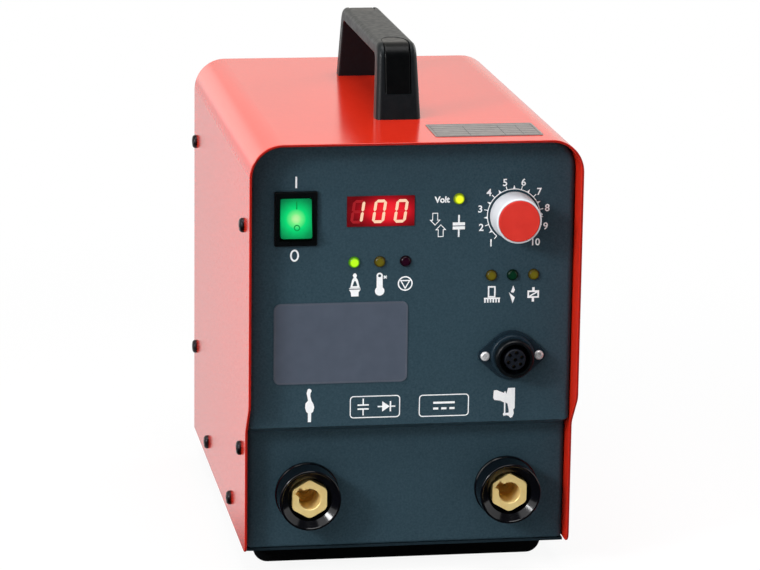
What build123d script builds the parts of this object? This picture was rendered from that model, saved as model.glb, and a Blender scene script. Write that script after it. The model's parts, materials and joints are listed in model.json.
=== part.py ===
from build123d import *
import math
import os

# Case: the red hood and the sheets that it closes, in millimetres
hood_width = 200.0
hood_height = 254.6
hood_depth = 300.0
hood_sheet = 1.5
hood_corner = 20.0
hood_tip_round = 6.0
hood_edge_round = 0.6
panel_sheet = 1.5
panel_bend = 2.0
panel_side_bend = 3.8
case_gap = 0.3
cut_margin = 4.0
pick_reach = 0.1
rim_facing = 0.3
long_edge = 1.2

# Front step: the lower front stands further back than the upper front
step_back = 16.0
step_top = 95.5
step_bottom = 76.5
step_round = 8.0
upper_recess = 15.0
lower_recess = 27.0
fold_height = 79.0
fold_drop = 5.5
flange_depth = 20.0
rear_recess = 1.0
rear_flange = 18.0

# Screws that hold the hood: depth behind its front edge, height above its lower edge
hood_screw_places = [(28.3, 201.0), (38.8, 60.5), (89.3, 13.8), (215.6, 13.8), (287.0, 60.5), (288.0, 201.0)]
screw_radius = 2.0
screw_hole = 2.2
screw_fit = 0.05
screw_head_radius = 4.4
screw_head = 2.6
screw_head_round = 1.9
screw_length = 8.0
screw_drive = 1.5

# Floor and feet
tray_flange = 26.0
tray_bend = 2.5
foot_height = 16.0
foot_length = 180.0
foot_width = 22.0
foot_inset = 52.0
foot_end_round = 9.0
foot_edge_round = 3.0
foot_screw_x = 60.0
foot_screw_sink = 8.0

# Handle: a bridge whose legs lean inwards, with an inlay over each bend
handle_front = 72.0
handle_rear = 239.5
handle_height = 45.4
handle_lean = 8.5
handle_base_width = 27.6
handle_top_width = 23.7
handle_bend = 10.0
handle_grip = 8.0
handle_leg = 11.3
handle_leg_taper = 7.3
handle_inner_bend = 5.0
handle_outer_round = 3.4
handle_inner_round = 1.0
cap_width = 16.4
cap_bottom = 15.2
cap_reach = 34.0
cap_spring = 18.0
cap_run_out = 40.0
cap_pocket = 4.5
cap_sunk = 0.2
cap_round = 1.2
cap_gap = 0.15
handle_screw_radius = 2.5
handle_screw_head = 4.5
handle_screw_head_height = 3.5
handle_screw_reach = 12.0
handle_screw_tip_gap = 1.0
handle_screw_set_in = 7.2

# Bare plates: place, size and thickness
plate_thickness = 0.4
plate_corner = 3.0
rating_centre = (45.5, 34.5)
rating_size = (65.0, 38.0)
label_centre = (-42.8, 130.5)
label_size = (80.9, 49.7)
label_corner = 4.0

# Mains switch on the upper front: x and height above the hood's lower edge
switch_place = (-70.6, 207.1)
switch_bezel = (25.6, 33.0)
switch_bezel_height = 2.2
switch_bezel_round = 0.9
switch_body = (21.6, 29.6)
switch_body_depth = 22.0
switch_cutout = (22.0, 30.0)
rocker_half_width = 9.15
rocker_half_height = 11.8
rocker_side_gap = 0.3
rocker_end_gap = 1.3
rocker_corner = 1.3
rocker_tilt = 10.0
rocker_rise = 5.0
rocker_dip = 3.6
rocker_shoulder = 1.0
rocker_belly = 5.5
rocker_belly_gap = 1.5
pivot_below_bezel = 2.5
trunnion_radius = 1.5
trunnion_length = 0.9
trunnion_clearance = 0.06
terminal_size = (6.3, 0.8)
terminal_length = 10.0
terminal_spread = (10.0, 14.0)

# Display and lamps on the control board
display_place = (-19.6, 210.6)
display_window_size = (40.4, 18.2)
display_window_proud = 0.5
display_rim = 2.0
display_rim_thickness = 1.5
display_module_size = (37.7, 19.0)
display_gap = 0.2
lamp_places = {
    "led_volt": (27.5, 217.1),
    "led_ready": (-35.3, 179.8),
    "led_heat": (-19.8, 179.8),
    "led_stop": (-4.3, 179.8),
    "led_contact": (48.0, 169.8),
    "led_charge": (60.9, 169.8),
    "led_relay": (73.8, 169.8),
}
lamp_radius = 3.3
lamp_hole = 3.5
lamp_flange = 4.0
lamp_flange_thickness = 1.2
lamp_proud = 2.0
lamp_dome = 1.8
lamp_leg = 0.6
lamp_leg_spread = 2.54
board_low = (-47.0, 157.0)
board_high = (85.0, 233.0)
board_sheet = 1.6
board_depth = 12.0
board_hole_inset = 4.0
standoff_flats = 5.5

# Voltage dial: potentiometer, shaft and knob
knob_place = (60.8, 206.4)
knob_height = 18.2
knob_gap = 0.8
knob_base_radius = 14.5
knob_front_radius = 13.6
knob_skirt = 3.5
knob_edge = 0.6
knob_nut_recess = (7.5, 4.6)
knob_cap_radius = 12.4
knob_cap_recess = 15.4
knob_cap_round = 0.6
knob_body_front = 17.6
knob_bore_depth = 13.0
knob_pointer_reach = 17.2
knob_pointer_half = 2.6
knob_pointer_angle = 87.0
pot_radius = 12.0
pot_depth = 12.0
pot_bushing_radius = 4.4
pot_bushing_height = 4.0
pot_shaft_radius = 3.0
pot_shaft_sunk = 9.8
pot_shaft_top = 12.8
pot_bore_floor = 10.2
shaft_clearance = 0.03
pot_nut_flats = 11.0
pot_nut_height = 2.4
pot_board_gap = 1.0

# Round control socket: flange with two ears, collar, insert and contacts
control_place = (61.2, 120.4)
control_flange_radius = 15.2
control_ear_radius = 4.2
control_ear_spread = 16.5
control_flange = 2.0
control_ring_radius = 13.3
control_ring_height = 5.8
control_ring_round = 1.1
control_collar_radius = 11.4
control_collar_height = 12.6
control_bore = 9.4
control_floor = -10.0
control_body_radius = 10.0
control_body_depth = 13.0
control_insert_radius = 6.4
control_insert_front = 13.2
control_insert_edge = 0.5
control_floor_lip = 1.0
control_contact_circle = 4.3
control_contact_count = 6
control_contact_turn = 20.0
control_contact_radius = 1.1
control_contact_sunk = 4.5
control_contact_back = 18.0
control_screw_head = 2.8
control_screw_height = 1.8
control_screw_round = 1.2
control_slot = (3.0, 0.7)
control_slot_depth = 0.9

# Weld cable sockets on the lower front: insulator, keyed insert and nut
weld_places = {"left": (-60.9, 34.0), "right": (61.8, 34.0)}
weld_base_radius = 19.6
weld_base_height = 2.8
weld_base_edge = 0.5
weld_ring_radius = 18.7
weld_ring_height = 17.2
weld_ring_round = 1.0
weld_recess_radius = 13.4
weld_recess_floor = 5.0
weld_bevel_start = 14.0
weld_bevel_radius = 17.1
weld_bevel_end = 16.9
weld_bevel_lip = 0.3
weld_sleeve_radius = 13.5
weld_sleeve_depth = 8.0
weld_sleeve_hole = 13.8
weld_hex_flats = 21.0
weld_hex_front = 13.6
weld_hex_turned = 11.7
weld_hex_chamfer = 0.4
weld_thread_radius = 10.4
weld_thread_back = 26.0
weld_bore_radius = 6.5
weld_bore_floor = 13.0
weld_bore_lip = 0.3
weld_bore_boss = 3.2
weld_bore_ring = 4.4
weld_bore_ring_depth = 2.5
weld_key_width = 5.0
weld_key_reach = 9.4
weld_key_angle = 144.0
weld_key_overlap = 1.0
weld_groove_radius = 8.2
weld_groove = (-9.0, -4.0)
weld_nut_flats = 30.0
weld_nut_height = 6.0
weld_fit = 0.1

# Inside: places are x and depth behind the hood's front edge, standing on the tray
can_places = [(10.0, 196.0), (64.0, 196.0), (10.0, 250.0), (64.0, 250.0)]
can_radius = 25.5
can_height = 100.0
can_rim = 2.5
can_sunk = 2.0
terminal_offset = 11.0
terminal_radius = 4.5
terminal_top = 106.0
clamp_height = 48.0
clamp_sheet = 3.0
clamp_margin = 2.5
clamp_gap = 0.4
clamp_post = 5.0
bar_sheet = 2.0
bar_width = 14.0
bar_drop_gap = 3.0
strap_width = 30.0
thyristor_low = (35.0, 86.0)
thyristor_high = (69.0, 166.0)
thyristor_height = 30.0
thyristor_pad_height = 34.0
thyristor_pads = [100.0, 135.0]
thyristor_pad = (20.0, 17.0)
transformer_place = (-45.0, 128.0)
transformer_outer = 44.0
transformer_inner = 14.0
transformer_height = 46.0
transformer_round = 11.0
rectifier_place = (-60.0, 215.0)
rectifier_side = 28.6
rectifier_height = 7.6
rectifier_tab = (6.3, 0.8, 9.0)
rectifier_tab_spread = 17.0

# Rear: fan, guard, mains inlet and fuse drawer; places are x and height on the case
fan_place = (45.0, 190.0)
fan_side = 80.0
fan_depth = 25.0
fan_bore = 38.0
fan_corner = 4.0
fan_hole_half = 35.75
fan_motor_radius = 15.5
fan_motor_height = 4.0
fan_strut = (4.0, 3.0)
fan_strut_root = 2.0
fan_hub_radius = 16.0
fan_blade_radius = 36.8
fan_blade_count = 7
fan_blade_sheet = 1.6
fan_blade_pitch = 38.0
fan_blade_width = 17.0
fan_blade_root = 2.0
fan_rotor_gap = 1.0
fan_rotor_height = 19.0
fan_shaft_radius = 1.5
fan_shaft_depth = 3.2
guard_rings = [37.0, 29.0, 21.0, 13.0]
guard_wire = 1.0
guard_spoke = 1.0
guard_spoke_level = 1.2
guard_spoke_short = 1.0
guard_ring_level = 2.5
guard_eye_radius = 4.6
guard_eye = 2.4
inlet_place = (-55.0, 50.0)
inlet_flange = (33.0, 46.0)
inlet_flange_height = 3.0
inlet_body = (27.6, 40.0)
inlet_body_depth = 24.0
inlet_corner = 2.5
inlet_cavity = (24.4, 16.8)
inlet_cavity_chamfer = 4.5
inlet_cavity_depth = 16.0
inlet_cavity_drop = -8.0
inlet_pin = (2.0, 4.0)
inlet_pin_places = [(-7.0, -2.0), (7.0, -2.0), (0.0, 2.0)]
inlet_pin_front = -1.5
inlet_pin_back = -32.0
drawer_size = (24.0, 13.0)
drawer_rise = 11.5
drawer_depth = 20.0
drawer_gap = 0.2
drawer_lip = (14.0, 1.2)
vent_size = (44.0, 4.0)
vent_pitch = 9.0
vent_count = 6
vent_place = (-55.0, 130.0)

# Frame: origin under the middle of the whole object, z up, the front faces -y
hood_z = foot_height + panel_sheet
roof_z = hood_z + hood_height
front_reach = knob_height - upper_recess
rear_reach = guard_eye + screw_head - rear_recess
front_y = front_reach - (hood_depth + front_reach + rear_reach) / 2
rear_y = front_y + hood_depth - rear_recess
panel_half = hood_width / 2 - hood_sheet - case_gap
panel_height = hood_height - hood_sheet - case_gap
panel_corner = hood_corner - hood_sheet - case_gap
flange_back = lower_recess + flange_depth


def front_face(recess):
    """Upright plane that faces forwards: x, height above the hood's lower edge, outwards."""
    return Plane(origin=(0, front_y + recess, hood_z), x_dir=(1, 0, 0), z_dir=(0, -1, 0))


upper = front_face(upper_recess)
lower = front_face(lower_recess)
rear = Plane(origin=(0, rear_y, hood_z), x_dir=(-1, 0, 0), z_dir=(0, 1, 0))
profile = Plane(origin=(0, front_y, hood_z), x_dir=(0, 1, 0), z_dir=(1, 0, 0))
tray_top = Plane(origin=(0, front_y, hood_z))
roof = Plane(origin=(0, front_y, roof_z))
handle_screw_places = [(0, handle_front + handle_screw_set_in), (0, handle_rear - handle_screw_set_in)]
inwards = (Align.CENTER, Align.CENTER, Align.MAX)
outwards = (Align.CENTER, Align.CENTER, Align.MIN)

os.makedirs("parts", exist_ok=True)


def finish(piece, name):
    """Label a finished piece and write it."""
    piece.part.label = name
    export_step(piece.part, f"parts/{name}.step")


def on_rear(place):
    """Place on the rear plane, whose own x runs the other way."""
    return (-place[0], place[1])


def place_on(face, place):
    """The same face, with its origin at a place on it."""
    return Plane(origin=face.from_local_coords((*place, 0)), x_dir=face.x_dir, z_dir=face.z_dir)


def axis_plane(face, place):
    """Plane through a turned piece's axis: x is its radius, y its height above the face."""
    return Plane(origin=face.from_local_coords((*place, 0)), x_dir=face.x_dir, z_dir=-face.y_dir)


def outline(plane, points, radius=0):
    """Closed outline on a plane, with its corners rounded."""
    with BuildSketch(plane) as sketch:
        with BuildLine():
            FilletPolyline(*points, radius=radius, close=True)
        make_face()
    return sketch.sketch


def plane_axis(plane):
    """Axis of a turned piece whose section lies on the plane."""
    return Axis(plane.origin, plane.y_dir)


# Hood
wall_middle = (hood_width - hood_sheet) / 2
roof_middle = hood_height - hood_sheet / 2
with BuildPart() as hood:
    with BuildSketch(front_face(-cut_margin)):
        with BuildLine():
            FilletPolyline(
                (-wall_middle, 0),
                (-wall_middle, roof_middle),
                (wall_middle, roof_middle),
                (wall_middle, 0),
                radius=hood_corner - hood_sheet / 2,
            )
        trace(line_width=hood_sheet)
    extrude(amount=-hood_depth - cut_margin)
    front_edge = outline(
        profile,
        [
            (-2 * cut_margin, -cut_margin),
            (step_back, -cut_margin),
            (step_back, step_bottom),
            (0, step_top),
            (0, hood_height + cut_margin),
            (-2 * cut_margin, hood_height + cut_margin),
        ],
        [0, 0, step_round, step_round, 0, 0],
    )
    extrude(front_edge, amount=hood_width, both=True, mode=Mode.SUBTRACT)
    tips = hood.edges().filter_by(Axis.X).group_by(Axis.Z)[0].group_by(Axis.Y)[0]
    fillet(tips, radius=hood_tip_round)
    rims = hood.faces().filter_by(lambda f: abs(f.normal_at(f.center()).Y) > rim_facing)
    rims = rims.filter_by(lambda f: f.area > hood_sheet**2)
    rim_edges = [e for face in rims for e in face.edges() if e.length > long_edge * hood_sheet]
    fillet(rim_edges, radius=hood_edge_round)
    with BuildSketch(profile):
        with Locations(*hood_screw_places):
            Circle(screw_hole)
    extrude(amount=hood_width, both=True, mode=Mode.SUBTRACT)
    with BuildSketch(roof):
        with Locations(*handle_screw_places):
            Circle(handle_screw_radius + screw_hole - screw_radius)
    extrude(amount=-2 * hood_sheet, mode=Mode.SUBTRACT)
finish(hood, "hood")

# Screws of the hood, six on each side
with BuildPart() as hood_screws:
    for side in (1, -1):
        face = Plane(origin=(side * hood_width / 2, front_y, hood_z), x_dir=(0, side, 0), z_dir=(side, 0, 0))
        places = [(side * depth, height) for depth, height in hood_screw_places]
        with BuildSketch(face):
            with Locations(*places):
                Circle(screw_head_radius)
        extrude(amount=screw_head)
        head_rims = hood_screws.edges().group_by(Axis.X)[-1 if side > 0 else 0]
        fillet(head_rims, radius=screw_head_round)
        with BuildSketch(face):
            with Locations(*places):
                Circle(screw_radius)
        extrude(amount=-screw_length)
        with BuildSketch(face.offset(screw_head / 2)):
            with Locations(*places):
                RegularPolygon(screw_drive, 6, major_radius=False)
        extrude(amount=screw_head, mode=Mode.SUBTRACT)
finish(hood_screws, "hood_screws")

# Front panel
with BuildPart() as front_panel:
    panel_block = outline(
        profile,
        [
            (upper_recess, panel_height),
            (upper_recess, fold_height),
            (lower_recess, fold_height - fold_drop),
            (lower_recess, 0),
            (flange_back, 0),
            (flange_back, panel_height),
        ],
    )
    extrude(panel_block, amount=panel_half, both=True)
    fillet(front_panel.edges().filter_by(Axis.Y).group_by(Axis.Z)[-1], radius=panel_corner)
    front_sides = front_panel.edges().filter_by(lambda e: abs(abs(e.center().X) - panel_half) < pick_reach)
    front_sides = front_sides.filter_by(lambda e: e.center().Y < front_y + lower_recess + pick_reach)
    front_top = front_panel.edges().filter_by(lambda e: e.center().Z > hood_z + panel_height - panel_corner)
    front_top = front_top.filter_by(lambda e: e.center().Y < front_y + upper_recess + pick_reach)
    fillet([*front_sides, *front_top], radius=panel_side_bend)
    front_base = front_panel.edges().filter_by(Axis.X).group_by(Axis.Z)[0].sort_by(Axis.Y)[0]
    fillet(front_base, radius=panel_bend)
    offset(amount=-panel_sheet, openings=front_panel.faces().sort_by(Axis.Y)[-1])
    with BuildSketch(upper):
        with Locations(switch_place):
            Rectangle(*switch_cutout)
        with Locations(display_place):
            Rectangle(display_window_size[0] + 2 * display_gap, display_window_size[1] + 2 * display_gap)
        with Locations(*lamp_places.values()):
            Circle(lamp_hole)
        with Locations(knob_place):
            Circle(pot_bushing_radius + screw_fit)
        with Locations(control_place):
            Circle(control_body_radius + case_gap)
            with Locations((-control_ear_spread, 0), (control_ear_spread, 0)):
                Circle(screw_radius + screw_fit)
    extrude(amount=cut_margin, both=True, mode=Mode.SUBTRACT)
    with BuildSketch(lower):
        with Locations(*weld_places.values()):
            Circle(weld_sleeve_hole)
    extrude(amount=cut_margin, both=True, mode=Mode.SUBTRACT)
    with BuildSketch(profile):
        with Locations(*hood_screw_places[:2]):
            Circle(screw_radius + screw_fit)
    extrude(amount=hood_width, both=True, mode=Mode.SUBTRACT)
finish(front_panel, "front_panel")

# Rear panel
with BuildPart() as rear_panel:
    rear_block = outline(
        rear,
        [(-panel_half, 0), (panel_half, 0), (panel_half, panel_height), (-panel_half, panel_height)],
        [0, 0, panel_corner, panel_corner],
    )
    extrude(rear_block, amount=-rear_flange)
    fillet(rear_panel.faces().sort_by(Axis.Y)[-1].edges(), radius=panel_bend)
    offset(amount=-panel_sheet, openings=rear_panel.faces().sort_by(Axis.Y)[0])
    with BuildSketch(rear):
        with Locations(on_rear(fan_place)):
            Circle(fan_bore)
            with GridLocations(2 * fan_hole_half, 2 * fan_hole_half, 2, 2):
                Circle(screw_hole)
        with Locations(on_rear(inlet_place)):
            RectangleRounded(inlet_body[0] + case_gap, inlet_body[1] + case_gap, inlet_corner)
        with Locations(on_rear(vent_place)):
            with GridLocations(0, vent_pitch, 1, vent_count):
                SlotOverall(*vent_size)
    extrude(amount=cut_margin, both=True, mode=Mode.SUBTRACT)
    with BuildSketch(profile):
        with Locations(*hood_screw_places[-2:]):
            Circle(screw_radius + screw_fit)
    extrude(amount=hood_width, both=True, mode=Mode.SUBTRACT)
finish(rear_panel, "rear_panel")

# Floor tray: a flat sheet with a flange along each side
tray_side = panel_half - panel_sheet / 2
tray_back = hood_depth - rear_recess
flange_start = flange_back + 2 * case_gap
flange_end = tray_back - rear_flange - 2 * case_gap
with BuildPart() as base_tray:
    with BuildSketch(front_face(flange_start)):
        with BuildLine():
            FilletPolyline(
                (-tray_side, tray_flange),
                (-tray_side, -panel_sheet / 2),
                (tray_side, -panel_sheet / 2),
                (tray_side, tray_flange),
                radius=tray_bend,
            )
        trace(line_width=panel_sheet)
    extrude(amount=flange_start - flange_end)
    with BuildSketch(tray_top):
        with Locations((0, (lower_recess + tray_back) / 2)):
            Rectangle(2 * (panel_half - tray_bend), tray_back - lower_recess)
    extrude(amount=-panel_sheet)
    for y, width in ((lower_recess, flange_start - lower_recess), (flange_end, tray_back - flange_end)):
        with BuildSketch(tray_top):
            with Locations((0, y + width / 2)):
                Rectangle(2 * panel_half, width - case_gap)
        extrude(amount=-panel_sheet)
    with BuildSketch(profile):
        with Locations(*hood_screw_places[2:4]):
            Circle(screw_radius + screw_fit)
    extrude(amount=hood_width, both=True, mode=Mode.SUBTRACT)
    with BuildSketch(tray_top):
        for depth in (foot_inset + foot_width / 2, hood_depth - foot_inset - foot_width / 2):
            with Locations((-foot_screw_x, depth), (foot_screw_x, depth)):
                Circle(screw_radius + screw_fit)
    extrude(amount=-cut_margin, mode=Mode.SUBTRACT)
finish(base_tray, "base_tray")

# Foot rails across the front and the rear, with sunk screws
foot_middles = {
    "foot_rail_front": front_y + foot_inset + foot_width / 2,
    "foot_rail_rear": front_y + hood_depth - foot_inset - foot_width / 2,
}
for name, middle in foot_middles.items():
    with BuildPart(Plane.XY) as foot_rail:
        with Locations((0, middle)):
            Box(foot_length, foot_width, foot_height, align=outwards)
        ends = foot_rail.edges().filter_by(Axis.Y).group_by(Axis.Z)[0]
        fillet(ends, radius=foot_end_round)
        fillet(foot_rail.faces().sort_by(Axis.Z)[0].edges().filter_by(Axis.X), radius=foot_edge_round)
        with Locations((-foot_screw_x, middle, 0), (foot_screw_x, middle, 0)):
            Cylinder(screw_head_radius + case_gap, foot_screw_sink, align=outwards, mode=Mode.SUBTRACT)
            Cylinder(screw_hole, foot_height, align=outwards, mode=Mode.SUBTRACT)
    finish(foot_rail, name)

with BuildPart(Plane.XY) as foot_screws:
    for middle in foot_middles.values():
        with Locations((-foot_screw_x, middle, foot_screw_sink), (foot_screw_x, middle, foot_screw_sink)):
            Cylinder(screw_head_radius, screw_head, align=inwards)
            Cylinder(screw_radius, hood_z - foot_screw_sink, align=outwards)
finish(foot_screws, "foot_screws")

# Handle: a bridge with leaning legs and tapered flanks
handle_middle = (handle_front + handle_rear) / 2
handle_profile = Plane(origin=(0, front_y + handle_middle, roof_z), x_dir=(0, 1, 0), z_dir=(1, 0, 0))
handle_half = (handle_rear - handle_front) / 2
grip_under = handle_height - handle_grip
lean_angle = math.atan2(handle_lean, handle_height)


def bridge_outline(inset):
    """Side view of the bridge without its gap, drawn in by an inset."""
    foot = handle_half - inset / math.cos(lean_angle)
    top = handle_height - inset
    shoulder = foot - top * math.tan(lean_angle)
    bend = handle_bend - inset
    return outline(
        handle_profile,
        [(-foot, 0), (foot, 0), (shoulder, top), (-shoulder, top)],
        [0, 0, bend, bend],
    )


def inlay(inset, gap, rim_round):
    """Bands that follow the bridge's outer face over both bends, down to the pockets' floor."""
    half = cap_width / 2 - gap
    with BuildPart() as bands:
        extrude(bridge_outline(inset), amount=half, both=True)
        if rim_round:
            rims = bands.edges().filter_by(lambda e: abs(e.center().X) > half - pick_reach)
            fillet(rims.filter_by(lambda e: e.center().Z > roof_z + pick_reach), radius=rim_round)
        extrude(bridge_outline(cap_pocket), amount=cap_width, both=True, mode=Mode.SUBTRACT)
        with BuildSketch(roof.offset(cap_bottom + gap)):
            for outer, way in ((handle_front, 1), (handle_rear, -1)):
                with Locations((0, outer + way * cap_spring)):
                    Ellipse(half, cap_reach - cap_spring - gap)
                with Locations((0, outer + way * (cap_spring - cap_run_out / 2))):
                    Rectangle(2 * half, cap_run_out)
        extrude(amount=handle_height, mode=Mode.INTERSECT)
    return bands.part


def on_outside(edge):
    """Whether an edge of the bridge runs along its outer face."""
    middle = edge.center()
    above_grip = middle.Z > roof_z + handle_height - handle_grip / 2
    return above_grip or abs(middle.Y - front_y - handle_middle) > handle_half - handle_leg


flank_lean = (handle_base_width - handle_top_width) / 2 / handle_height
flank_top = handle_base_width / 2 - flank_lean * (handle_height + cut_margin)
pockets = inlay(0, 0, 0)
with BuildPart() as handle:
    extrude(bridge_outline(0), amount=handle_base_width, both=True)
    finger_gap = outline(
        handle_profile,
        [
            (-handle_half + handle_leg, -cut_margin),
            (handle_half - handle_leg, -cut_margin),
            (handle_half - handle_leg - handle_leg_taper, grip_under),
            (-handle_half + handle_leg + handle_leg_taper, grip_under),
        ],
        [0, 0, handle_inner_bend, handle_inner_bend],
    )
    extrude(finger_gap, amount=2 * handle_base_width, both=True, mode=Mode.SUBTRACT)
    flanks = outline(
        Plane(origin=(0, 0, roof_z), x_dir=(1, 0, 0), z_dir=(0, -1, 0)),
        [
            (-handle_base_width / 2, 0),
            (handle_base_width / 2, 0),
            (flank_top, handle_height + cut_margin),
            (-flank_top, handle_height + cut_margin),
        ],
    )
    extrude(flanks, amount=hood_depth, both=True, mode=Mode.INTERSECT)
    rims = handle.edges().filter_by(lambda e: abs(e.center().X) > handle_top_width / 4)
    rims = rims.filter_by(lambda e: e.center().Z > roof_z + pick_reach)
    fillet(rims.filter_by(lambda e: not on_outside(e)), radius=handle_inner_round)
    rims = handle.edges().filter_by(lambda e: abs(e.center().X) > handle_top_width / 4)
    rims = rims.filter_by(lambda e: e.center().Z > roof_z + pick_reach)
    fillet(rims.filter_by(on_outside), radius=handle_outer_round)
    add(pockets, mode=Mode.SUBTRACT)
    with BuildSketch(roof):
        with Locations(*handle_screw_places):
            Circle(handle_screw_radius + screw_fit)
    extrude(amount=handle_screw_reach + handle_screw_tip_gap, mode=Mode.SUBTRACT)
finish(handle, "handle")

inlays = inlay(cap_sunk, cap_gap, cap_round)
with BuildPart() as handle_caps:
    add(inlays)
finish(handle_caps, "handle_caps")

with BuildPart() as handle_screws:
    with BuildSketch(roof.offset(-hood_sheet)):
        with Locations(*handle_screw_places):
            Circle(handle_screw_radius)
    extrude(amount=hood_sheet + handle_screw_reach)
    with BuildSketch(roof.offset(-hood_sheet)):
        with Locations(*handle_screw_places):
            Circle(handle_screw_head)
    extrude(amount=-handle_screw_head_height)
finish(handle_screws, "handle_screws")

# Bare plates on the roof and on the front
with BuildPart() as rating_plate:
    with BuildSketch(roof):
        with Locations(rating_centre):
            RectangleRounded(*rating_size, plate_corner / 2)
    extrude(amount=plate_thickness)
finish(rating_plate, "rating_plate")

with BuildPart() as front_label:
    with BuildSketch(upper):
        with Locations(label_centre):
            RectangleRounded(*label_size, label_corner)
    extrude(amount=plate_thickness)
finish(front_label, "front_label")

# Mains switch: housing, rocker at its on position, and four blade terminals
pivot_height = switch_bezel_height - pivot_below_bezel
cavity_floor = pivot_height - rocker_belly - rocker_belly_gap
pivot_point = upper.from_local_coords((*switch_place, pivot_height))
tilt = math.radians(rocker_tilt)
rocker_plane = Plane(
    origin=pivot_point,
    x_dir=(0, -math.cos(tilt), math.sin(tilt)),
    z_dir=(-1, 0, 0),
)
with BuildPart() as switch_housing:
    with BuildSketch(upper):
        with Locations(switch_place):
            RectangleRounded(*switch_bezel, switch_bezel_round)
    extrude(amount=switch_bezel_height)
    fillet(switch_housing.faces().sort_by(Axis.Y)[0].edges(), radius=switch_bezel_round)
    with BuildSketch(upper):
        with Locations(switch_place):
            Rectangle(*switch_body)
    extrude(amount=-switch_body_depth)
    with BuildSketch(upper.offset(cavity_floor)):
        with Locations(switch_place):
            Rectangle(
                2 * (rocker_half_width + rocker_side_gap),
                2 * (rocker_half_height + rocker_end_gap),
            )
    extrude(amount=switch_body_depth, mode=Mode.SUBTRACT)
    with BuildSketch(rocker_plane):
        Circle(trunnion_radius + trunnion_clearance)
    extrude(amount=switch_body[0] / 2, both=True, mode=Mode.SUBTRACT)
finish(switch_housing, "switch_housing")

with BuildPart() as switch_rocker:
    with BuildSketch(rocker_plane):
        with BuildLine():
            Polyline(
                (rocker_shoulder, rocker_half_height),
                (rocker_rise, rocker_half_height),
                (rocker_dip, 0),
                (rocker_rise, -rocker_half_height),
                (rocker_shoulder, -rocker_half_height),
            )
            ThreePointArc(
                (rocker_shoulder, -rocker_half_height),
                (-rocker_belly, 0),
                (rocker_shoulder, rocker_half_height),
            )
        make_face()
    extrude(amount=rocker_half_width, both=True)
    across = Axis(pivot_point, rocker_plane.x_dir)
    fillet(switch_rocker.edges().filter_by(across), radius=rocker_corner)
    with BuildSketch(rocker_plane):
        Circle(trunnion_radius)
    extrude(amount=rocker_half_width + trunnion_length, both=True)
finish(switch_rocker, "switch_rocker")

with BuildPart() as switch_terminals:
    with BuildSketch(upper.offset(-switch_body_depth)):
        with Locations(switch_place):
            with GridLocations(*terminal_spread, 2, 2):
                Rectangle(*terminal_size)
    extrude(amount=-terminal_length)
finish(switch_terminals, "switch_terminals")

# Display: red window in the panel and the digit module behind it
window_back = panel_sheet + display_rim_thickness
with BuildPart() as display_window:
    with BuildSketch(upper.offset(-window_back)):
        with Locations(display_place):
            Rectangle(*display_window_size)
    extrude(amount=window_back + display_window_proud)
    with BuildSketch(upper.offset(-window_back)):
        with Locations(display_place):
            Rectangle(
                display_window_size[0] + 2 * display_rim,
                display_window_size[1] + 2 * display_rim,
            )
    extrude(amount=display_rim_thickness)
finish(display_window, "display_window")

with BuildPart() as display_module:
    with BuildSketch(upper.offset(-board_depth)):
        with Locations(display_place):
            Rectangle(*display_module_size)
    extrude(amount=board_depth - window_back - display_gap)
finish(display_module, "display_module")

# Lamps: a domed lens with a flange behind the panel and two legs to the board
flange_top = panel_sheet + display_gap
for name, place in lamp_places.items():
    with BuildPart(upper) as lamp:
        with Locations((*place, -flange_top)):
            Cylinder(lamp_radius, flange_top + lamp_proud, align=outwards)
            Cylinder(lamp_flange, lamp_flange_thickness, align=inwards)
        fillet(lamp.edges().sort_by(Axis.Y)[0], radius=lamp_dome)
        legs_top = -flange_top - lamp_flange_thickness
        with Locations((*place, legs_top)):
            with GridLocations(lamp_leg_spread, 0, 2, 1):
                Box(lamp_leg, lamp_leg, board_depth + legs_top, align=inwards)
    finish(lamp, name)

# Control board on four hexagonal standoffs
board_centre = ((board_low[0] + board_high[0]) / 2, (board_low[1] + board_high[1]) / 2)
board_size = (board_high[0] - board_low[0], board_high[1] - board_low[1])
standoff_grid = (board_size[0] - 2 * board_hole_inset, board_size[1] - 2 * board_hole_inset, 2, 2)
with BuildPart() as control_board:
    with BuildSketch(upper.offset(-board_depth)):
        with Locations(board_centre):
            RectangleRounded(*board_size, plate_corner)
        with Locations(knob_place):
            Circle(pot_radius + pot_board_gap, mode=Mode.SUBTRACT)
    extrude(amount=-board_sheet)
finish(control_board, "control_board")

with BuildPart() as board_standoffs:
    with BuildSketch(upper.offset(-board_depth)):
        with Locations(board_centre):
            with GridLocations(*standoff_grid):
                RegularPolygon(standoff_flats / 2, 6, major_radius=False)
    extrude(amount=board_depth - panel_sheet)
finish(board_standoffs, "board_standoffs")

# Potentiometer, its nut and its shaft
with BuildPart(upper) as potentiometer:
    with Locations((*knob_place, -panel_sheet)):
        Cylinder(pot_radius, pot_depth, align=inwards)
        Cylinder(pot_bushing_radius, panel_sheet + pot_bushing_height, align=outwards)
    with Locations((*knob_place, -pot_bore_floor)):
        Cylinder(
            pot_shaft_radius + shaft_clearance,
            pot_bore_floor + pot_bushing_height,
            align=outwards,
            mode=Mode.SUBTRACT,
        )
finish(potentiometer, "potentiometer")

with BuildPart() as pot_nut:
    with BuildSketch(upper):
        with Locations(knob_place):
            RegularPolygon(pot_nut_flats / 2, 6, major_radius=False)
            Circle(pot_bushing_radius + screw_fit, mode=Mode.SUBTRACT)
    extrude(amount=pot_nut_height)
finish(pot_nut, "pot_nut")

with BuildPart(upper) as pot_shaft:
    with Locations((*knob_place, -pot_shaft_sunk)):
        Cylinder(pot_shaft_radius, pot_shaft_sunk + pot_shaft_top, align=outwards)
finish(pot_shaft, "pot_shaft")

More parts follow.
